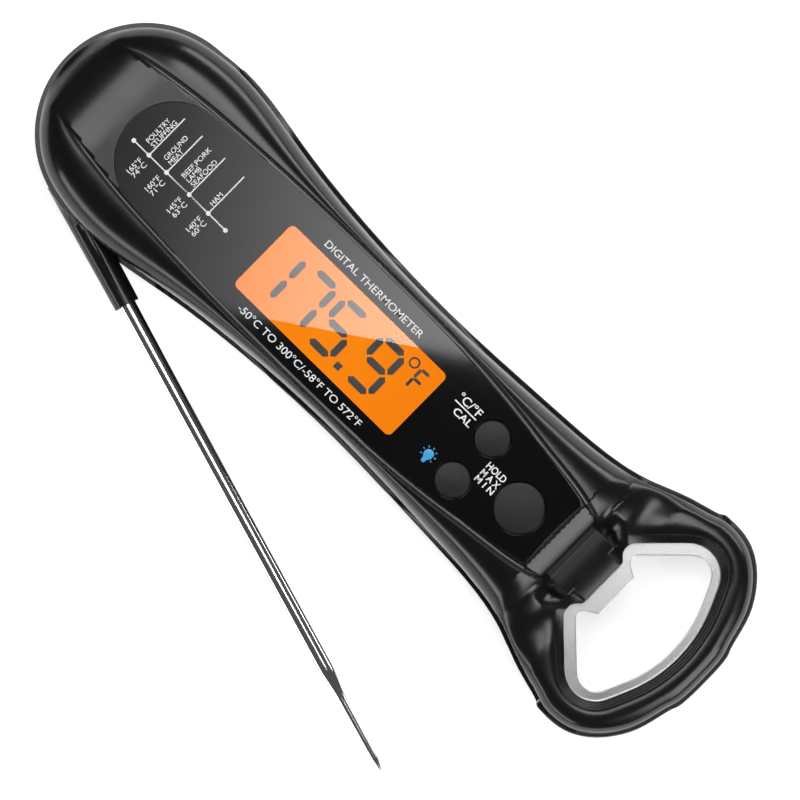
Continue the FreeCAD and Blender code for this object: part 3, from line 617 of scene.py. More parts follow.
def grain_effect():
    """Fine moulded grain: a height for relief, and a roughness and a colour that wander a little."""
    group, given, out = shared_effect("moulded grain", [
        ("Scale", FLOAT, 2500.0), ("Roughness", FLOAT, 0.35), ("Wander", FLOAT, 0.06),
        ("Color", COLOR, (0.02, 0.02, 0.02, 1)), ("Tint", COLOR, (0.03, 0.03, 0.03, 1))],
        [("Height", FLOAT), ("Roughness", FLOAT), ("Color", COLOR)])
    vector = given.outputs["Vector"]
    fine = noise_in(group, vector, given.outputs["Scale"], 4.0)
    patch = noise_in(group, vector, 55.0, 3.0)
    smudge = noise_in(group, vector, 210.0, 4.0)
    mixed = math_node(group, "ADD", math_node(group, "MULTIPLY", patch, 0.65),
                      math_node(group, "MULTIPLY", smudge, 0.35))
    swing = math_node(group, "MULTIPLY", math_node(group, "SUBTRACT", mixed, 0.5),
                      math_node(group, "MULTIPLY", given.outputs["Wander"], 4.0))
    group.links.new(math_node(group, "ADD", given.outputs["Roughness"], swing), out.inputs["Roughness"])
    group.links.new(fine, out.inputs["Height"])
    blend = group.nodes.new("ShaderNodeMix")
    blend.data_type = "RGBA"
    group.links.new(mixed, blend.inputs["Factor"])
    group.links.new(given.outputs["Color"], blend.inputs["A"])
    group.links.new(given.outputs["Tint"], blend.inputs["B"])
    group.links.new(blend.outputs["Result"], out.inputs["Color"])
    return group


GRAIN = grain_effect()


def grained(name, color, tint, roughness, wander=0.05, scale=2500.0, depth=0.00002, stretch=(1, 1, 1),
            turn=(0, 0, 0), strength=0.35, **values):
    """A finish whose colour, roughness and relief come from the moulded grain."""
    finish = Finish(name, color, **values)
    effect = finish.use(GRAIN, finish.place(stretch, turn), Scale=scale, Roughness=roughness, Wander=wander,
                        Color=(*color, 1), Tint=(*tint, 1))
    finish.link(effect.outputs["Color"], finish.shader.inputs["Base Color"])
    finish.link(effect.outputs["Roughness"], finish.shader.inputs["Roughness"])
    finish.relief(effect.outputs["Height"], depth, strength)
    return finish.material


ALONG_PROBE = (0, 0, REST_OPENING)
BLACK_PLASTIC = grained("satin black plastic", (0.0035, 0.0035, 0.004), (0.007, 0.007, 0.008), 0.22,
                       Specular_IOR_Level=0.42)
GLOSS_BLACK = grained("polished black overlay", (0.0018, 0.0018, 0.002), (0.003, 0.003, 0.0032), 0.035, 0.012,
                      900.0, 0.000002, strength=0.1)
KEY_RUBBER = grained("matt key rubber", (0.006, 0.006, 0.0065), (0.010, 0.010, 0.011), 0.42, 0.06, 4200.0,
                     0.00004, strength=0.5, Specular_IOR_Level=0.3)
SEAL_RUBBER = grained("black seal rubber", (0.015, 0.015, 0.015), (0.024, 0.024, 0.023), 0.62)
PROBE_STEEL = grained("polished drawn steel", (0.70, 0.705, 0.72), (0.80, 0.805, 0.82), 0.13, 0.05, 5200.0,
                      0.000006, (0.03, 1, 1), ALONG_PROBE, 0.25, Metallic=1.0)
OPENER_STEEL = grained("satin stamped steel", (0.60, 0.60, 0.61), (0.68, 0.68, 0.69), 0.24, 0.06, 6000.0,
                       0.000008, (1, 0.04, 1), (0, 0, 0), 0.3, Metallic=1.0)
SCREW_STEEL = grained("blackened steel", (0.10, 0.10, 0.105), (0.16, 0.16, 0.165), 0.38, Metallic=1.0)
BRASS = grained("turned brass", (0.68, 0.50, 0.20), (0.78, 0.60, 0.28), 0.25, Metallic=1.0)
PLATED = grained("nickel plate", (0.66, 0.65, 0.62), (0.76, 0.75, 0.72), 0.22, Metallic=1.0)
BOARD = grained("green circuit board", (0.010, 0.085, 0.030), (0.018, 0.12, 0.045), 0.38)
WHITE_PLASTIC = grained("white moulding", (0.72, 0.72, 0.69), (0.80, 0.80, 0.77), 0.42)
CHIP = grained("moulded epoxy", (0.018, 0.018, 0.019), (0.03, 0.03, 0.031), 0.5)
WIRE_RED = grained("red wire cover", (0.42, 0.02, 0.015), (0.52, 0.04, 0.03), 0.4)
WHITE_INK = grained("white printed ink", (0.80, 0.80, 0.80), (0.86, 0.86, 0.86), 0.32, scale=3000.0)
BLUE_INK = grained("blue printed ink", (0.018, 0.33, 0.68), (0.03, 0.38, 0.74), 0.32, scale=3000.0)
SEGMENT = grained("liquid crystal black", (0.004, 0.003, 0.003), (0.007, 0.005, 0.004), 0.3)


def display_finish():
    """The lit liquid crystal: orange, a touch brighter towards its middle."""
    finish = Finish("lit liquid crystal", (0.05, 0.012, 0.0005), Roughness=0.8, Specular_IOR_Level=0.0)
    low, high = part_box("lcd_glass")
    vector = finish.node("ShaderNodeTexCoord").outputs["Object"]
    apart = finish.node("ShaderNodeVectorMath", operation="DISTANCE")
    apart.inputs[1].default_value = ((low.x + high.x) / 2, (low.y + high.y) / 2, high.z)
    finish.link(vector, apart.inputs[0])
    ramp = finish.node("ShaderNodeValToRGB")
    ramp.color_ramp.elements[0].color = (1.0, 0.25, 0.001, 1)
    ramp.color_ramp.elements[1].color = (0.96, 0.225, 0.0008, 1)
    reach = finish.node("ShaderNodeMath", operation="MULTIPLY")
    reach.inputs[1].default_value = 1 / ((high.x - low.x) / 2)
    finish.link(apart.outputs["Value"], reach.inputs[0])
    finish.link(reach.outputs[0], ramp.inputs["Fac"])
    finish.link(ramp.outputs["Color"], finish.shader.inputs["Emission Color"])
    finish.shader.inputs["Emission Strength"].default_value = 1.0
    return finish.material


DISPLAY = display_finish()
CLEAR = Finish("clear window", (1, 1, 1), Roughness=0.0, IOR=1.46, Transmission_Weight=1.0).material

# ------------------------------------------------------------------ pieces


def finished(piece, material, body, slot, *nodes):
    """Gives a piece its material and body, and hides the CAD nodes it stands for."""
    if not piece.data.materials:
        piece.data.materials.append(material)
    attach(piece, body)
    if nodes:
        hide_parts(*nodes)
    return piece


def refined(node, name, material, body, slot, angle=28, bevel=0.0):
    """A CAD node's own shape with merged points, smooth curves and slightly broken edges."""
    work = bmesh.new()
    work.from_mesh(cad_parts[node].data)
    bmesh.ops.remove_doubles(work, verts=work.verts, dist=1e-6)
    if bevel:
        bmesh.ops.dissolve_limit(work, angle_limit=math.radians(0.5), verts=work.verts, edges=work.edges)
    piece = from_work(name, work, angle)
    if bevel:
        broken = piece.modifiers.new("broken edges", "BEVEL")
        broken.width, broken.segments, broken.limit_method = bevel * MM, 2, "ANGLE"
        broken.angle_limit = math.radians(40)
        broken.harden_normals = True
    return finished(piece, material, body, slot, node)


class Tree:
    """A Geometry Nodes tree with named inputs."""

    def __init__(self, name, *inputs):
        self.group = bpy.data.node_groups.new(name, "GeometryNodeTree")
        sockets = self.group.interface
        sockets.new_socket("Geometry", in_out="INPUT", socket_type="NodeSocketGeometry")
        for label, kind, value in inputs:
            made = sockets.new_socket(label, in_out="INPUT", socket_type=kind)
            if value is not None:
                made.default_value = value
        sockets.new_socket("Geometry", in_out="OUTPUT", socket_type="NodeSocketGeometry")
        self.given = self.group.nodes.new("NodeGroupInput").outputs
        self.end = self.group.nodes.new("NodeGroupOutput").inputs["Geometry"]

    def add(self, kind, *wires, **settings):
        """Adds a node: settings are its own fields, wires go to its inputs by place or by name."""
        node = self.group.nodes.new(kind)
        for name, value in settings.items():
            setattr(node, name, value)
        for place, value in wires:
            socket = node.inputs[place]
            if isinstance(value, bpy.types.NodeSocket):
                self.group.links.new(value, socket)
            else:
                socket.default_value = value
        return node.outputs

    def maths(self, operation, a, b=0.0):
        return self.add("ShaderNodeMath", (0, a), (1, b), operation=operation)[0]

    def arrows(self, operation, a, b=(0.0, 0.0, 0.0)):
        """Vector maths: the first output, or the length."""
        made = self.add("ShaderNodeVectorMath", (0, a), (1, b), operation=operation)
        return made["Value"] if operation in ("LENGTH", "DOT_PRODUCT") else made["Vector"]

    def scaled(self, vector, amount):
        return self.add("ShaderNodeVectorMath", ("Vector", vector), ("Scale", amount),
                        operation="SCALE")["Vector"]

    def close(self, geometry):
        """Ends the tree in plain geometry with the named material."""
        real = self.add("GeometryNodeRealizeInstances", ("Geometry", geometry))[0]
        dressed = self.add("GeometryNodeSetMaterial", ("Geometry", real),
                           ("Material", self.given["Material"]))
        self.group.links.new(dressed[0], self.end)
        return self.group


MATERIAL, WHOLE = "NodeSocketMaterial", "NodeSocketInt"


def turned_tree():
    """A round piece: the line's points carry the radius, and a circle is swept along it."""
    tree = Tree("turned piece", ("Sides", WHOLE, 96), ("Material", MATERIAL, None))
    line = tree.add("GeometryNodeMeshToCurve", ("Mesh", tree.given["Geometry"]))[0]
    radius = tree.add("GeometryNodeInputNamedAttribute", ("Name", "radius"), data_type="FLOAT")["Attribute"]
    round_line = tree.add("GeometryNodeCurvePrimitiveCircle", ("Resolution", tree.given["Sides"]),
                          ("Radius", 1.0))[0]
    skin = tree.add("GeometryNodeCurveToMesh", ("Curve", line), ("Profile Curve", round_line),
                    ("Scale", radius))[0]
    joined = tree.add("GeometryNodeMergeByDistance", ("Geometry", skin), ("Distance", 2e-7))[0]
    return tree.close(joined)


def bars_tree():
    """A flat bar along each edge of a mesh, with pointed or square ends."""
    tree = Tree("flat bars", ("Stroke", FLOAT, 0.0014), ("Point", FLOAT, 0.0007), ("Gap", FLOAT, 0.0),
                ("Thickness", FLOAT, 0.00002), ("Material", MATERIAL, None))
    ends = tree.add("GeometryNodeInputMeshEdgeVertices")
    mesh = tree.given["Geometry"]
    for label, end in (("start", ends["Position 1"]), ("finish", ends["Position 2"])):
        mesh = tree.add("GeometryNodeStoreNamedAttribute", ("Geometry", mesh), ("Name", label),
                        ("Value", end), data_type="FLOAT_VECTOR", domain="EDGE")[0]
    middles = tree.add("GeometryNodeMeshToPoints", ("Mesh", mesh), mode="EDGES")[0]
    block = tree.add("GeometryNodeMeshCylinder", ("Vertices", 6), ("Radius", 1.0), ("Depth", 2.0))["Mesh"]
    corner = tree.add("GeometryNodeInputPosition")[0]
    block = tree.add("GeometryNodeStoreNamedAttribute", ("Geometry", block), ("Name", "corner"),
                     ("Value", corner), data_type="FLOAT_VECTOR", domain="POINT")[0]
    placed = tree.add("GeometryNodeInstanceOnPoints", ("Points", middles), ("Instance", block))[0]
    real = tree.add("GeometryNodeRealizeInstances", ("Geometry", placed))[0]
    start, finish, corner = (tree.add("GeometryNodeInputNamedAttribute", ("Name", label),
                                      data_type="FLOAT_VECTOR")["Attribute"]
                             for label in ("start", "finish", "corner"))
    cx, cy, cz = list(tree.add("ShaderNodeSeparateXYZ", (0, corner)))[:3]
    run = tree.arrows("SUBTRACT", finish, start)
    half = tree.maths("MULTIPLY", tree.arrows("LENGTH", run), 0.5)
    along = tree.arrows("NORMALIZE", run)
    across = tree.arrows("CROSS_PRODUCT", (0.0, 0.0, 1.0), along)
    shoulder = tree.maths("GREATER_THAN", tree.maths("ABSOLUTE", cy), 0.1)
    reach = tree.maths("SUBTRACT", tree.maths("SUBTRACT", half, tree.given["Gap"]),
                       tree.maths("MULTIPLY", shoulder, tree.given["Point"]))
    reach = tree.maths("MULTIPLY", reach, tree.maths("SIGN", cx))
    side = tree.maths("MULTIPLY", tree.maths("MULTIPLY", tree.maths("SIGN", cy), shoulder),
                      tree.maths("MULTIPLY", tree.given["Stroke"], 0.5))
    rise = tree.maths("MULTIPLY", tree.maths("GREATER_THAN", cz, 0.0), tree.given["Thickness"])
    middle = tree.scaled(tree.arrows("ADD", start, finish), 0.5)
    place = tree.arrows("ADD", middle, tree.scaled(along, reach))
    place = tree.arrows("ADD", place, tree.scaled(across, side))
    place = tree.arrows("ADD", place, tree.add("ShaderNodeCombineXYZ", ("Z", rise))["Vector"])
    return tree.close(tree.add("GeometryNodeSetPosition", ("Geometry", real), ("Position", place))[0])


def studs_tree():
    """A low round stud, standing or printed, on each point of a mesh."""
    tree = Tree("round studs", ("Radius", FLOAT, 0.0004), ("Height", FLOAT, 0.00002), ("Sides", WHOLE, 32),
                ("Material", MATERIAL, None))
    stud = tree.add("GeometryNodeMeshCylinder", ("Vertices", tree.given["Sides"]),
                    ("Radius", tree.given["Radius"]), ("Depth", tree.given["Height"]))["Mesh"]
    half = tree.maths("MULTIPLY", tree.given["Height"], 0.5)
    lift = tree.add("ShaderNodeCombineXYZ", ("Z", half))["Vector"]
    stud = tree.add("GeometryNodeSetPosition", ("Geometry", stud), ("Offset", lift))[0]
    return tree.close(tree.add("GeometryNodeInstanceOnPoints", ("Points", tree.given["Geometry"]),
                               ("Instance", stud))[0])


TURNED, BARS, STUDS = turned_tree(), bars_tree(), studs_tree()


def grown(name, tree, points, edges, attributes=(), **inputs):
    """Runs a tree on points in mm and turns the result into a plain mesh object."""
    seed = object_of(name + "_seed", points, [])
    seed.data.clear_geometry()
    seed.data.from_pydata([tuple(c * MM for c in p) for p in points], edges, [])
    for label, values in attributes:
        made = seed.data.attributes.new(label, "FLOAT", "POINT")
        made.data.foreach_set("value", values)
    modifier = seed.modifiers.new(tree.name, "NODES")
    modifier.node_group = tree
    for item in tree.interface.items_tree:
        if item.in_out == "INPUT" and item.name in inputs:
            modifier[item.identifier] = inputs[item.name]
    seen = seed.evaluated_get(bpy.context.evaluated_depsgraph_get())
    mesh = bpy.data.meshes.new_from_object(seen)
    bpy.data.objects.remove(seed)
    mesh.name = name
    piece = bpy.data.objects.new(name, mesh)
    bpy.context.scene.collection.objects.link(piece)
    return piece


def turned(name, profile, place, material, sides=96, angle=32):
    """A solid of revolution: profile points are (distance along the axis, radius) in mm."""
    piece = grown(name, TURNED, [(along, 0, 0) for along, _ in profile],
                  [(i, i + 1) for i in range(len(profile) - 1)],
                  [("radius", [max(radius, 1e-5) * MM for _, radius in profile])],
                  Sides=sides, Material=material)
    work = bmesh.new()
    work.from_mesh(piece.data)
    bmesh.ops.transform(work, matrix=place, verts=work.verts)
    bmesh.ops.recalc_face_normals(work, faces=work.faces)
    work.to_mesh(piece.data)
    work.free()
    shade(piece, angle)
    return piece


def shade(piece, angle, flats=False):
    """Smooth faces, with sharp edges where the surface turns by more than the angle.

    With flats, level faces stay flat up to the rounding that meets them.
    """
    mesh = piece.data
    mesh.polygons.foreach_set("use_smooth", [True] * len(mesh.polygons))
    mesh.set_sharp_from_angle(angle=math.radians(angle))
    if flats:
        work = bmesh.new()
        work.from_mesh(mesh)
        for edge in work.edges:
            level_faces = [abs(face.normal.z) > 0.9999 for face in edge.link_faces]
            if any(level_faces) and not all(level_faces):
                edge.smooth = False
        work.to_mesh(mesh)
        work.free()


UPRIGHT = Matrix.Rotation(math.radians(-90), 4, "Y")      # turns a profile's axis from +X to +Z


def standing(x, y, z):
    return Matrix.Translation((x * MM, y * MM, z * MM)) @ UPRIGHT


def rounded(radius, reach, steps=5):
    """(inset, drop) pairs round an edge, from the top inwards to the side."""
    turns = [math.pi / 2 * i / steps for i in range(steps + 1)]
    return [(radius * (1 - math.sin(t)) + reach, radius * (1 - math.cos(t))) for t in turns]


def plate(name, outline, holes, low, high, edge, windows=()):
    """A closed plate with softly rounded upper edges along its outline and its holes.

    The faces inside the windows' outlines get the second material.
    """
    verts, faces, clear, tops, bottoms = [], [], [], [], []
    for number, loop in enumerate([outline, *holes]):
        rows_made = []
        for inset, drop in [*rounded(edge, 0), (0.0, high - low)]:
            moved = offset(loop, inset if number == 0 else -inset)
            rows_made.append([len(verts) + i for i in range(len(loop))])
            verts += [(x, y, high - drop) for x, y in moved]
        for one, other in zip(rows_made, rows_made[1:]):
            faces += walls(one, other, number == 0)
        tops.append(rows_made[0])
        bottoms.append(rows_made[-1])
    for rims, level_at, upwards in ((tops, high, True), (bottoms, low, False)):
        flat_loops = [np.array([verts[i][:2] for i in rim]) for rim in rims]
        flat, base, ends = triangles([*flat_loops, *windows], [filler([*flat_loops, *windows])]
                                     if edge > 0.01 else ())
        numbers = {end: i for found, rim in zip(ends, rims) for end, i in zip(found, rim)}
        flat_faces = kept(flat, base, ends[:len(rims)])
        in_window = np.zeros(len(flat_faces), bool)
        for end in ends[len(rims):]:
            in_window |= enclosed(flat, flat_faces, end)
        for face, see_through in zip(flat_faces, in_window):
            for i in face:
                if i not in numbers:
                    numbers[i] = len(verts)
                    verts.append((*flat[i], level_at))
            corners = [numbers[i] for i in face]
            if see_through:
                clear.append(len(faces))
            faces.append(corners if upwards else corners[::-1])
    piece = object_of(name, verts, faces)
    piece.data.materials.append(None)
    piece.data.materials.append(None)
    for number in clear:
        piece.data.polygons[number].material_index = 1
    shade(piece, 50, True)
    return piece


# ------------------------------------------------------------------ the black face

LCD_X, LCD_Y = middle_of("lcd_glass")
WINDOW = rectangle(LCD_X - 20.3, LCD_Y - 7.9, LCD_X + 20.3, LCD_Y + 7.9, 1.1)


def black_face():
    """The polished overlay, with its key holes and its clear window over the display."""
    holes = [circle(*middle_of(node), radius + KEY_GAP, 72) for node, _, radius in BUTTONS]
    piece = plate("black_face", offset(PANEL, 0.05), holes, PANEL_LOW, PANEL_TOP, 0.09, [WINDOW])
    piece.data.materials[0], piece.data.materials[1] = GLOSS_BLACK, CLEAR
    return finished(piece, GLOSS_BLACK, "root", "gloss_panel", "display_panel")


def keys():
    """The three soft domed keys, each with a thin raised rim."""
    for node, name, radius in BUTTONS:
        low, high = (c.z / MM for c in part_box(node))
        top = high - 0.02
        profile = [(low, 0), (low + 0.001, radius - 0.1), (top - 1.0, radius - 0.001)]
        profile += [(top - 0.22 - drop, radius - inset) for inset, drop in reversed(rounded(0.16, 0))]
        profile += [(top - 0.20, radius - 0.24), (top - 0.185, radius - 0.34)]
        profile += [(top - 0.19 + 0.19 * math.sin(math.pi / 2 * (1 - r)), (radius - 0.36) * r)
                    for r in (0.96, 0.88, 0.78, 0.66, 0.52, 0.37, 0.2)]
        profile += [(top, 0)]
        profile = [(along + 0.0002 * i, r) for i, (along, r) in enumerate(profile)]
        piece = turned(name, profile, standing(*middle_of(node), 0), KEY_RUBBER, 96, 35)
        finished(piece, KEY_RUBBER, node, "button_rubber", node)


# ------------------------------------------------------------------ printing

INK = 0.012                     # thickness of the printed ink
INK_LIFT = 0.004                # its clearance above the black face
CAPITAL = 0.729                 # capital height of the built-in letters at size 1


def words(text, start, end, height, line, up=False, weight=0.0, spread=1.0):
    """Flat lettering from start to end on its base line, with the capital height given, in mm.

    It reads along +X, or along +Y where up is set; line is then the base line's X.
    """
    curve = bpy.data.curves.new("words", "FONT")
    curve.body, curve.size = text, 1.0
    curve.space_character = spread
    curve.offset = weight
    curve.extrude = 0.004
    holder = bpy.data.objects.new("words", curve)
    bpy.context.scene.collection.objects.link(holder)
    bpy.context.view_layer.update()
    mesh = bpy.data.meshes.new_from_object(holder.evaluated_get(bpy.context.evaluated_depsgraph_get()))
    bpy.data.objects.remove(holder)
    spots = np.array([v.co[:] for v in mesh.vertices])
    left, right = spots[:, 0].min(), spots[:, 0].max()
    capital = CAPITAL + 2 * weight
    wide = (end - start) / (right - left) * MM
    tall = height / capital * MM
    place = Matrix.Diagonal((wide, tall, INK * MM / 0.008, 1))
    place = place @ Matrix.Translation((-left, weight, 0.004))
    if up:
        turn = Matrix.Translation((line * MM, start * MM, 0)) @ Matrix.Rotation(math.pi / 2, 4, "Z")
    else:
        turn = Matrix.Translation((start * MM, line * MM, 0))
    mesh.transform(Matrix.Translation((0, 0, (PANEL_TOP + INK_LIFT) * MM)) @ turn @ place)
    return mesh


def together(name, parts, material, angle=30):
    """One object from several meshes or objects."""
    work = bmesh.new()
    for part in parts:
        mesh = part.data if isinstance(part, bpy.types.Object) else part
        work.from_mesh(mesh)
    bmesh.ops.remove_doubles(work, verts=work.verts, dist=1e-8)
    bmesh.ops.recalc_face_normals(work, faces=work.faces)
    for face in work.faces:
        face.material_index = 0
    for part in parts:
        if isinstance(part, bpy.types.Object):
            bpy.data.objects.remove(part)
    piece = from_work(name, work, angle)
    piece.data.materials.append(material)
    return piece


def bars(name, points, edges, stroke, material, point=0.0, gap=0.0, thickness=INK):
    """Flat bars along the edges between points, with all sizes in mm."""
    return grown(name, BARS, points, edges, Stroke=stroke * MM, Point=point * MM, Gap=gap * MM,
                 Thickness=thickness * MM, Material=material)


CHART_LINE = -2.45
CHART_DOTS = [-0.1, 3.84, 8.43, 14.33, 19.3, 23.8]
CHART_TOP = 7.1
CHART_WORDS = [("POULTRY", 2.34, 5.8), ("STUFFING", 3.56, 6.4), ("GROUND", 6.93, 5.8), ("MEAT", 8.15, 3.4),
               ("BEEF,PORK", 11.6, 7.3), ("LAMB", 12.8, 3.4), ("SEAFOOD", 14.0, 6.4), ("HAM", 19.0, 2.8)]
CHART_HEATS = [("165°F", 3.75), ("74°C", 4.96), ("160°F", 8.5), ("71°C", 9.74), ("145°F", 14.2),
               ("63°C", 15.5), ("140°F", 19.3), ("60°C", 20.5)]


def printing():
    """The white lettering and chart, and the blue lamp sign, on the black face."""
    base = PANEL_TOP + INK_LIFT
    parts = [words("DIGITAL THERMOMETER", 38.8, 63.7, 1.5, 8.46, weight=0.004),
             words("-50°C TO 300°C/-58°F TO 572°F", 35.6, 67.05, 1.5, -11.4, weight=0.004),
             words("°C/°F", 76.45, 81.85, 1.75, 5.5, weight=0.012),
             words("CAL", 77.6, 81.85, 1.5, 2.97, weight=0.016),
             words("HOLD", 89.15, 93.65, 1.45, 0.08, weight=0.02),
             words("MAX", 89.2, 93.6, 1.4, -1.6, weight=0.02, spread=1.5),
             words("MIN", 89.2, 93.6, 1.35, -3.12, weight=0.02, spread=1.6)]
    parts += [words(text, -0.88, -0.88 + run, 1.02, line, up=True, weight=0.006)
              for text, line, run in CHART_WORDS]
    parts += [words(text, -7.44, -4.0, 1.08, line, up=True, weight=0.006) for text, line in CHART_HEATS]
    ends = [(x, CHART_LINE, base) for x in CHART_DOTS]
    tops = [(x, CHART_TOP, base) for x in CHART_DOTS[1:-1]]
    edges = [(i, i + 1) for i in range(len(ends) - 1)]
    edges += [(i + 1, len(ends) + i) for i in range(len(tops))]
    parts.append(bars("chart_lines", ends + tops, edges, 0.24, WHITE_INK))
    parts.append(bars("units_bar", [(76.4, 5.03, base), (81.85, 5.03, base)], [(0, 1)], 0.26, WHITE_INK))
    parts.append(grown("chart_dots", STUDS, [(x, y, z + 0.002) for x, y, z in ends], [], Radius=0.44 * MM,
                       Height=INK * MM, Material=WHITE_INK))
    finished(together("white_printing", parts, WHITE_INK), WHITE_INK, "root", "gloss_panel")

    # the lamp sign: a bulb with a screwed cap, and short rays round its top
    x, y = 79.98, -6.02 + 0.35
    bulb = [(x + 0.98 * math.sin(t), y + 0.98 * math.cos(t))
            for t in np.linspace(math.radians(-130), math.radians(130), 40)[::-1]]
    bulb += [(x - 0.42, y - 1.12), (x - 0.42, y - 1.62), (x - 0.2, y - 1.86), (x + 0.2, y - 1.86),
             (x + 0.42, y - 1.62), (x + 0.42, y - 1.12)]
    outline = np.array(bulb)
    lamp = plate("lamp_bulb", outline if area(outline) > 0 else outline[::-1], [], base, base + INK, 0.002)
    rays = []
    for turn in range(-120, 121, 40):
        t = math.radians(turn)
        rays += [(x + r * math.sin(t), y + r * math.cos(t), base) for r in (1.25, 1.62)]
    rays = bars("lamp_rays", rays, [(i, i + 1) for i in range(0, len(rays), 2)], 0.2, BLUE_INK)
    finished(together("lamp_sign", [lamp, rays], BLUE_INK), BLUE_INK, "root", "gloss_panel")


STROKE = 1.42                                 # width of the reading's bars
SEGMENT_DEPTH = 0.02
BIG_FIGURES = [("1", 34.0, 39.2), ("7", 40.2, 47.0), ("5", 48.1, 54.9), ("9", 58.05, 64.85)]
FIGURE_LOW, FIGURE_HIGH = -5.82, 4.2          # middles of the lowest and highest bars
FIGURE_PARTS = {"1": "BC", "7": "ABC", "5": "AFGCD", "9": "AFGBCD", "F": "AFEG"}


def figure(text, left, right, low, high, stroke):
    """The lit bars of one figure as edges between its corners."""
    middle = (low + high) / 2
    west, east = left + stroke / 2, right - stroke / 2
    corner = {"nw": (west, high), "ne": (east, high), "w": (west, middle), "e": (east, middle),
              "sw": (west, low), "se": (east, low)}
    lines = {"A": ("nw", "ne"), "B": ("e", "ne"), "C": ("se", "e"), "D": ("sw", "se"), "E": ("sw", "w"),
             "F": ("w", "nw"), "G": ("w", "e")}
    return [(corner[a], corner[b]) for a, b in (lines[part] for part in FIGURE_PARTS[text])]


def display():
    """The reading on the liquid crystal: bars, a point, a degree ring and a small F."""
    base = LCD_TOP + 0.012
    big = [bar for text, left, right in BIG_FIGURES
           for bar in figure(text, left, right, FIGURE_LOW, FIGURE_HIGH, STROKE)]
    small = figure("F", 67.7, 70.3, 0.35, 4.7, 0.6)
    parts = []
    for name, lit, stroke, gap in (("figures", big, STROKE, 0.3), ("unit", small, 0.62, 0.05)):
        points = [(x, y, base) for bar in lit for x, y in bar]
        parts.append(bars(name, points, [(i, i + 1) for i in range(0, len(points), 2)], stroke, SEGMENT,
                          stroke * 0.5, gap, SEGMENT_DEPTH))
    point = [(x, FIGURE_LOW + 0.02, base) for x in (55.75, 57.1)]
    parts.append(bars("point", point, [(0, 1)], 1.35, SEGMENT, thickness=SEGMENT_DEPTH))
    parts.append(plate("degree", circle(66.2, 4.65, 1.1, 48), [circle(66.2, 4.65, 0.75, 48)], base,
                       base + SEGMENT_DEPTH, 0.002))
    finished(together("display_figures", parts, SEGMENT), SEGMENT, "root", "display_glass")


# ------------------------------------------------------------------ the probe

PROBE_Y = -18.6
PROBE_Z = 9.1
PROBE_TURN = Matrix.Rotation(-REST_OPENING, 4, "Z")


# (distance from the pivot, radius): the tube, its long taper and its ground point
PROBE_PROFILE = [(18.0, 0), (18.001, 1.7), (18.06, 1.75), (60.0, 1.75), (104.0, 1.75), (104.9, 1.738),
                 (106.0, 1.62), (108.0, 1.33), (109.4, 1.12), (110.3, 1.02), (111.5, 1.0), (118.0, 0.9),
                 (123.4, 0.81), (124.0, 0.78), (125.0, 0.6), (126.0, 0.37), (126.6, 0.21), (126.9, 0.1),
                 (127.0, 0)]


def probe():
    """The drawn tube with its long taper and ground point, swept round its own axis."""
    place = PROBE_TURN @ Matrix.Translation((0, PROBE_Y * MM, PROBE_Z * MM))
    piece = turned("probe_needle", PROBE_PROFILE, place, PROBE_STEEL, 64, 40)
    finished(piece, PROBE_STEEL, "probe", "probe_steel", "probe_tube")


# ------------------------------------------------------------------ the studio


CAMERA_PLACE = (0.0691, -0.0022, 0.847)
CAMERA_TURN = 44.5              # degrees about the vertical
FLOOR_DROP = 0.0003             # the floor lies a hair below the back face


def camera():
    """Straight above the face, turned so that the handle runs down to the right."""
    data = bpy.data.cameras.new("camera")
    data.lens = 200
    view = bpy.data.objects.new("camera", data)
    bpy.context.scene.collection.objects.link(view)
    view.location = CAMERA_PLACE
    view.rotation_euler = (0, 0, math.radians(CAMERA_TURN))
    data.clip_start, data.clip_end = 0.01, 20
    bpy.context.scene.camera = view


def floor():
    work = bmesh.new()
    bmesh.ops.create_grid(work, x_segments=8, y_segments=8, size=3.0)
    bmesh.ops.translate(work, verts=work.verts, vec=(0, 0, -FLOOR_DROP))
    piece = from_work("studio_floor", work)
    finish = Finish("pale floor", (0.92, 0.92, 0.92), Roughness=0.7, Emission_Color=(1, 1, 1, 1),
                    Emission_Strength=0.6)
    piece.data.materials.append(finish.material)


def softbox(name, place, target, size, power):
    """A soft rectangular lamp that looks at a target; power is its brightness as seen."""
    data = bpy.data.lights.new(name, "AREA")
    data.shape, data.size, data.size_y = "RECTANGLE", *size
    data.energy = power * size[0] * size[1] * math.pi
    lamp = bpy.data.objects.new(name, data)
    bpy.context.scene.collection.objects.link(lamp)
    lamp.location = place
    lamp.rotation_euler = (Vector(place) - Vector(target)).to_track_quat("Z", "Y").to_euler()
    lamp.visible_camera = False
    return lamp


GLARE_HEIGHT = 1.2              # the ceiling box's height above the floor
GLARE_SIZE = (1.5, 0.8)
GLARE_REACH = 0.25              # how far the box runs on past its edge's second point
GLARE_EDGE = ((-0.0138, -0.0277), (0.0765, 0.0325))
# (place along the box, brightness): dim over the head, bright over the buttons
GLARE_FADE = [(0.0, 0.05), (0.69, 0.1), (0.733, 0.9), (0.76, 2.0), (0.835, 5.6)]


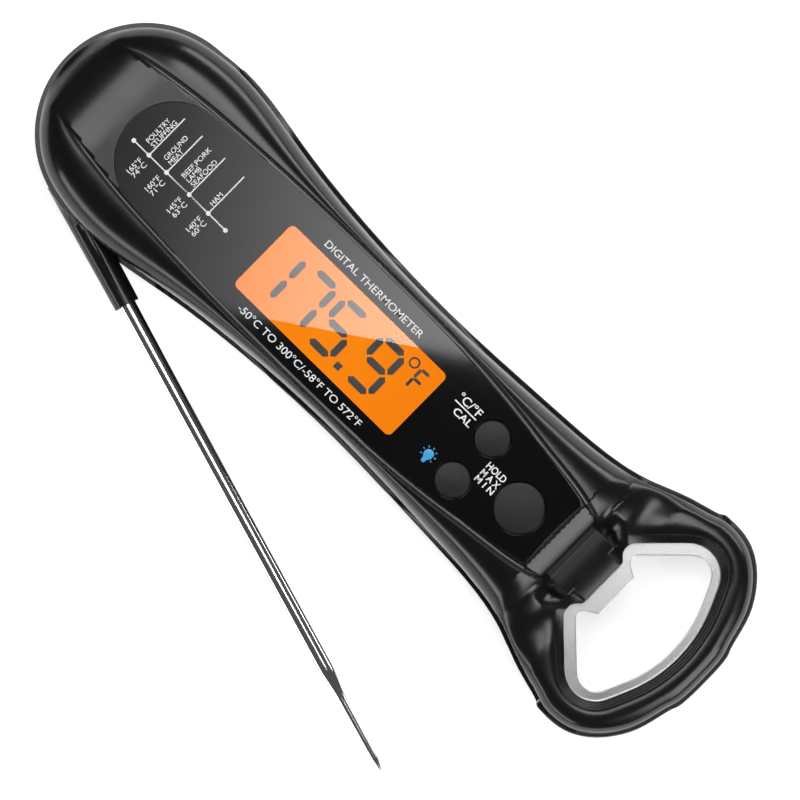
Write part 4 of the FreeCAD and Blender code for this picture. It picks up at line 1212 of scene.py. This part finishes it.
def overhead():
    """The large ceiling box: its straight edge shows across the black face, and it fades at one end."""
    start, end = (Vector((*p, 0)) for p in GLARE_EDGE)
    run = (end - start).normalized()
    over = Vector((-run.y, run.x, 0))
    long, wide = GLARE_SIZE
    middle = end - run * (long / 2 - GLARE_REACH) + over * wide / 2 + Vector((0, 0, GLARE_HEIGHT))
    lamp = softbox("ceiling_box", middle, middle - Vector((0, 0, 1)), GLARE_SIZE, 1.0)
    lamp.rotation_euler = (0, 0, math.atan2(run.y, run.x))
    data = lamp.data
    data.use_nodes = True
    nodes, links = data.node_tree.nodes, data.node_tree.links
    where = nodes.new("ShaderNodeNewGeometry")
    parts = nodes.new("ShaderNodeSeparateXYZ")
    ramp = nodes.new("ShaderNodeValToRGB")
    links.new(where.outputs["Parametric"], parts.inputs[0])
    links.new(parts.outputs["X"], ramp.inputs["Fac"])
    steps = ramp.color_ramp.elements
    while len(steps) < len(GLARE_FADE):
        steps.new(0.5)
    for step, (position, brightness) in zip(steps, GLARE_FADE):
        step.position = position
        step.color = (brightness, brightness, brightness, 1)
    links.new(ramp.outputs["Color"], nodes["Emission"].inputs["Strength"])
    return lamp


# name, place, size and brightness of the boxes that look at the handle's middle
SIDE_BOXES = [("far_left", (-0.42, 0.0, 1.1), (0.36, 0.6), 4.5),
              ("far_right", (0.85, 0.0, 0.55), (0.4, 0.6), 5),
              ("upper_side", (0.07, 0.95, 0.30), (1.0, 0.22), 6),
              ("lower_side", (0.07, -0.95, 0.30), (1.0, 0.22), 5)]


def studio():
    world = bpy.data.worlds.new("studio")
    world.use_nodes = True
    background = world.node_tree.nodes["Background"]
    background.inputs["Color"].default_value = (1, 1, 1, 1)
    background.inputs["Strength"].default_value = 0.08
    bpy.context.scene.world = world
    overhead()
    for name, place, size, power in SIDE_BOXES:
        softbox(name, place, (0.065, 0, 0), size, power)
    bpy.context.scene.view_settings.view_transform = "Standard"


camera()
floor()
studio()

finished(front_cover(), BLACK_PLASTIC, "root", "black_plastic", "front_cover")
refined("rear_cover", "rear_cover_shell", BLACK_PLASTIC, "root", "black_plastic")
black_face()
keys()
printing()
display()
probe()
refined("hub_lower", "hub_lower_shell", BLACK_PLASTIC, "probe", "black_plastic", 30)
refined("hub_upper", "hub_upper_shell", BLACK_PLASTIC, "probe", "black_plastic", 30)
refined("bottle_opener", "opener_plate", OPENER_STEEL, "root", "opener_steel", 30, 0.15)
refined("battery_door", "battery_door_cap", BLACK_PLASTIC, "battery_door", "black_plastic", 30, 0.12)
refined("case_screws", "case_screw_set", SCREW_STEEL, "root", "screw_steel", 30)

NODE_FINISH = {
    "sensor_leads": WIRE_RED, "sensor_bead": CHIP, "hub_magnet": PLATED, "board_leads": WIRE_RED,
    "pivot_bush": BRASS, "pivot_screw": SCREW_STEEL, "friction_washer": PLATED, "hub_seals": SEAL_RUBBER,
    "circuit_board": BOARD, "lcd_glass": DISPLAY, "backlight_panel": WHITE_PLASTIC,
    "lcd_holder": WHITE_PLASTIC, "zebra_strips": SEAL_RUBBER, "backlight_leds": WHITE_PLASTIC,
    "controller_chip": CHIP, "reed_switch": CHIP, "tact_switches": CHIP, "keypad_web": KEY_RUBBER,
    "case_gasket": SEAL_RUBBER, "door_seal": SEAL_RUBBER, "coin_cell": PLATED, "negative_contact": PLATED,
    "positive_contact": PLATED, "back_magnets": PLATED}
for node_name, finish_material in NODE_FINISH.items():
    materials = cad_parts[node_name].data.materials
    materials.clear()
    materials.append(finish_material)
